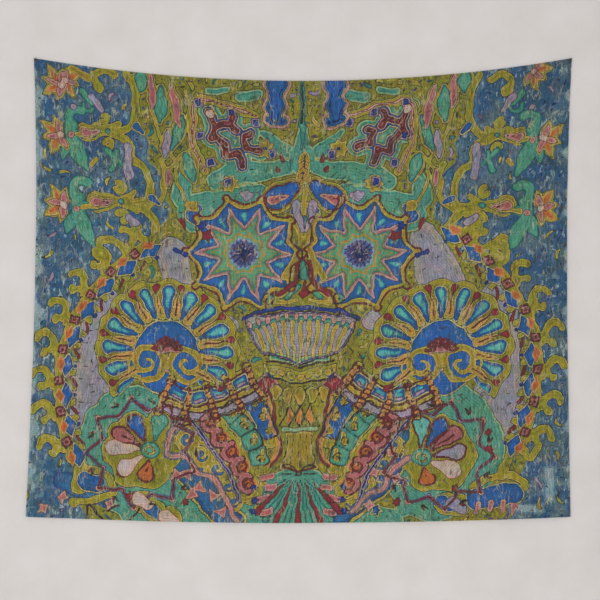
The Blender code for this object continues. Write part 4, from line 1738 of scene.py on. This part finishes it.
def drawn_steel(name):
    """Bright steel wire: fine draw marks along the needle blur its reflections."""
    material, tree, shader = new_material(name)
    place = add(tree, "ShaderNodeTexCoord").outputs["Object"]
    marks = noise(tree, place, 4000.0, 2.0, (1.0, 0.05, 1.0))
    tone = steps(tree, marks, ((0.3, "#A9ABAD"), (0.7, "#C4C6C8")), hard=False)
    gloss = between(tree, marks, 0.3, 0.7, 0.22, 0.34)
    finish_with(tree, shader, {"Base Color": tone, "Metallic": 1.0, "Roughness": gloss})
    return material


# %% giving out the finishes
face_print = printed_cloth("printed_polyester", 0.0)
reverse_print = printed_cloth("printed_polyester_reverse", 0.68)
thread = spun_thread("polyester_thread")
satin = satin_ribbon("satin_ribbon")
plastic = moulded_plastic("moulded_polystyrene")
steel = drawn_steel("drawn_steel_wire")
cloth_face.data.materials.append(face_print)
cloth_reverse.data.materials.append(reverse_print)
for hem in hems:
    hem.data.materials.append(face_print)
for row in stitches:
    row.data.materials.append(thread)
satin_label.data.materials.append(satin)
print("finishes:", [one.name for one in (face_print, reverse_print, thread, satin, plastic, steel)])


# %% [markdown]
# ## Push pins
#
# A push pin's head is turned: a flat collar that meets the cloth, a narrow waist for the fingers, and a
# flared top with a shallow dome. A profile of radius against distance from the cloth, carried once round the
# needle, gives all of it. The collar's rim and the top's rim are rounded, since a mould can't make a knife
# edge.

# %% pin heads
COLLAR_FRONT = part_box("left_tack_head")[1][1]
HEAD_LENGTH = COLLAR_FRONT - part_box("left_tack_head")[0][1]
HEAD_SPOKES = 48
HEAD_PROFILE = (
    (0.0006, 0.0000),
    (0.0046, 0.0000),
    (0.0050, 0.0003),
    (0.0050, 0.0012),
    (0.0047, 0.0016),
    (0.0036, 0.0019),
    (0.0029, 0.0028),
    (0.0026, 0.0045),
    (0.0027, 0.0065),
    (0.0031, 0.0085),
    (0.0038, 0.0102),
    (0.0045, 0.0111),
    (0.0046, 0.0115),
    (0.0044, 0.0119),
    (0.0034, 0.0122),
    (0.0018, 0.01243),
    (0.0004, 0.0125),
)


def pin_head(name, node, body):
    """A surface of revolution round the needle: radius and height smoothed through the profile's points."""
    low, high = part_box(node)
    centre = ((low[0] + high[0]) / 2, (low[2] + high[2]) / 2)
    profile = smooth_path(HEAD_PROFILE, 4)
    turn = np.linspace(0, TURN, HEAD_SPOKES, endpoint=False)
    radius, height = np.clip(profile[:, :1], 0.0002, 0.0050), np.clip(profile[:, 1:], 0, HEAD_LENGTH)
    across = centre[0] + radius * np.cos(turn)
    upright = centre[1] + radius * np.sin(turn)
    depth = COLLAR_FRONT - height + 0 * across
    head = capped_tubes(name, np.stack((across, depth, upright), axis=-1)[None])
    head.data.materials.append(plastic)
    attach(head, body)
    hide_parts(node)
    return head


pin_heads = [pin_head(side + "_pin_head", side + "_tack_head", side + "_tack") for side in ("left", "right")]
for side in ("left", "right"):
    needle = bpy.data.objects[side + "_tack_needle"]
    for slot in needle.material_slots:
        slot.material = steel
print("pins", [head.name for head in pin_heads], "head length", round(HEAD_LENGTH, 4))


# %% [markdown]
# ## The pieces of cloth
#
# The corners stay under the pins while the rest of the hanging can be swung up off the wall. Each piece of
# cloth has its place baked into its points, and the CAD parts that the cloth, hems, threads and label stand
# in for are hidden.

cloth_pieces = [cloth_face, cloth_reverse, *hems, *stitches, satin_label]
for piece in cloth_pieces:
    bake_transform(piece)
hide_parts("cloth_panel", "left_corner", "right_corner")
for hem, row, name in zip(hems, stitches, edges):
    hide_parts(name)
    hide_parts(name + "_thread")
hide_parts("care_label")
print(len(cloth_pieces), "pieces of cloth shared between the corners and the drape")
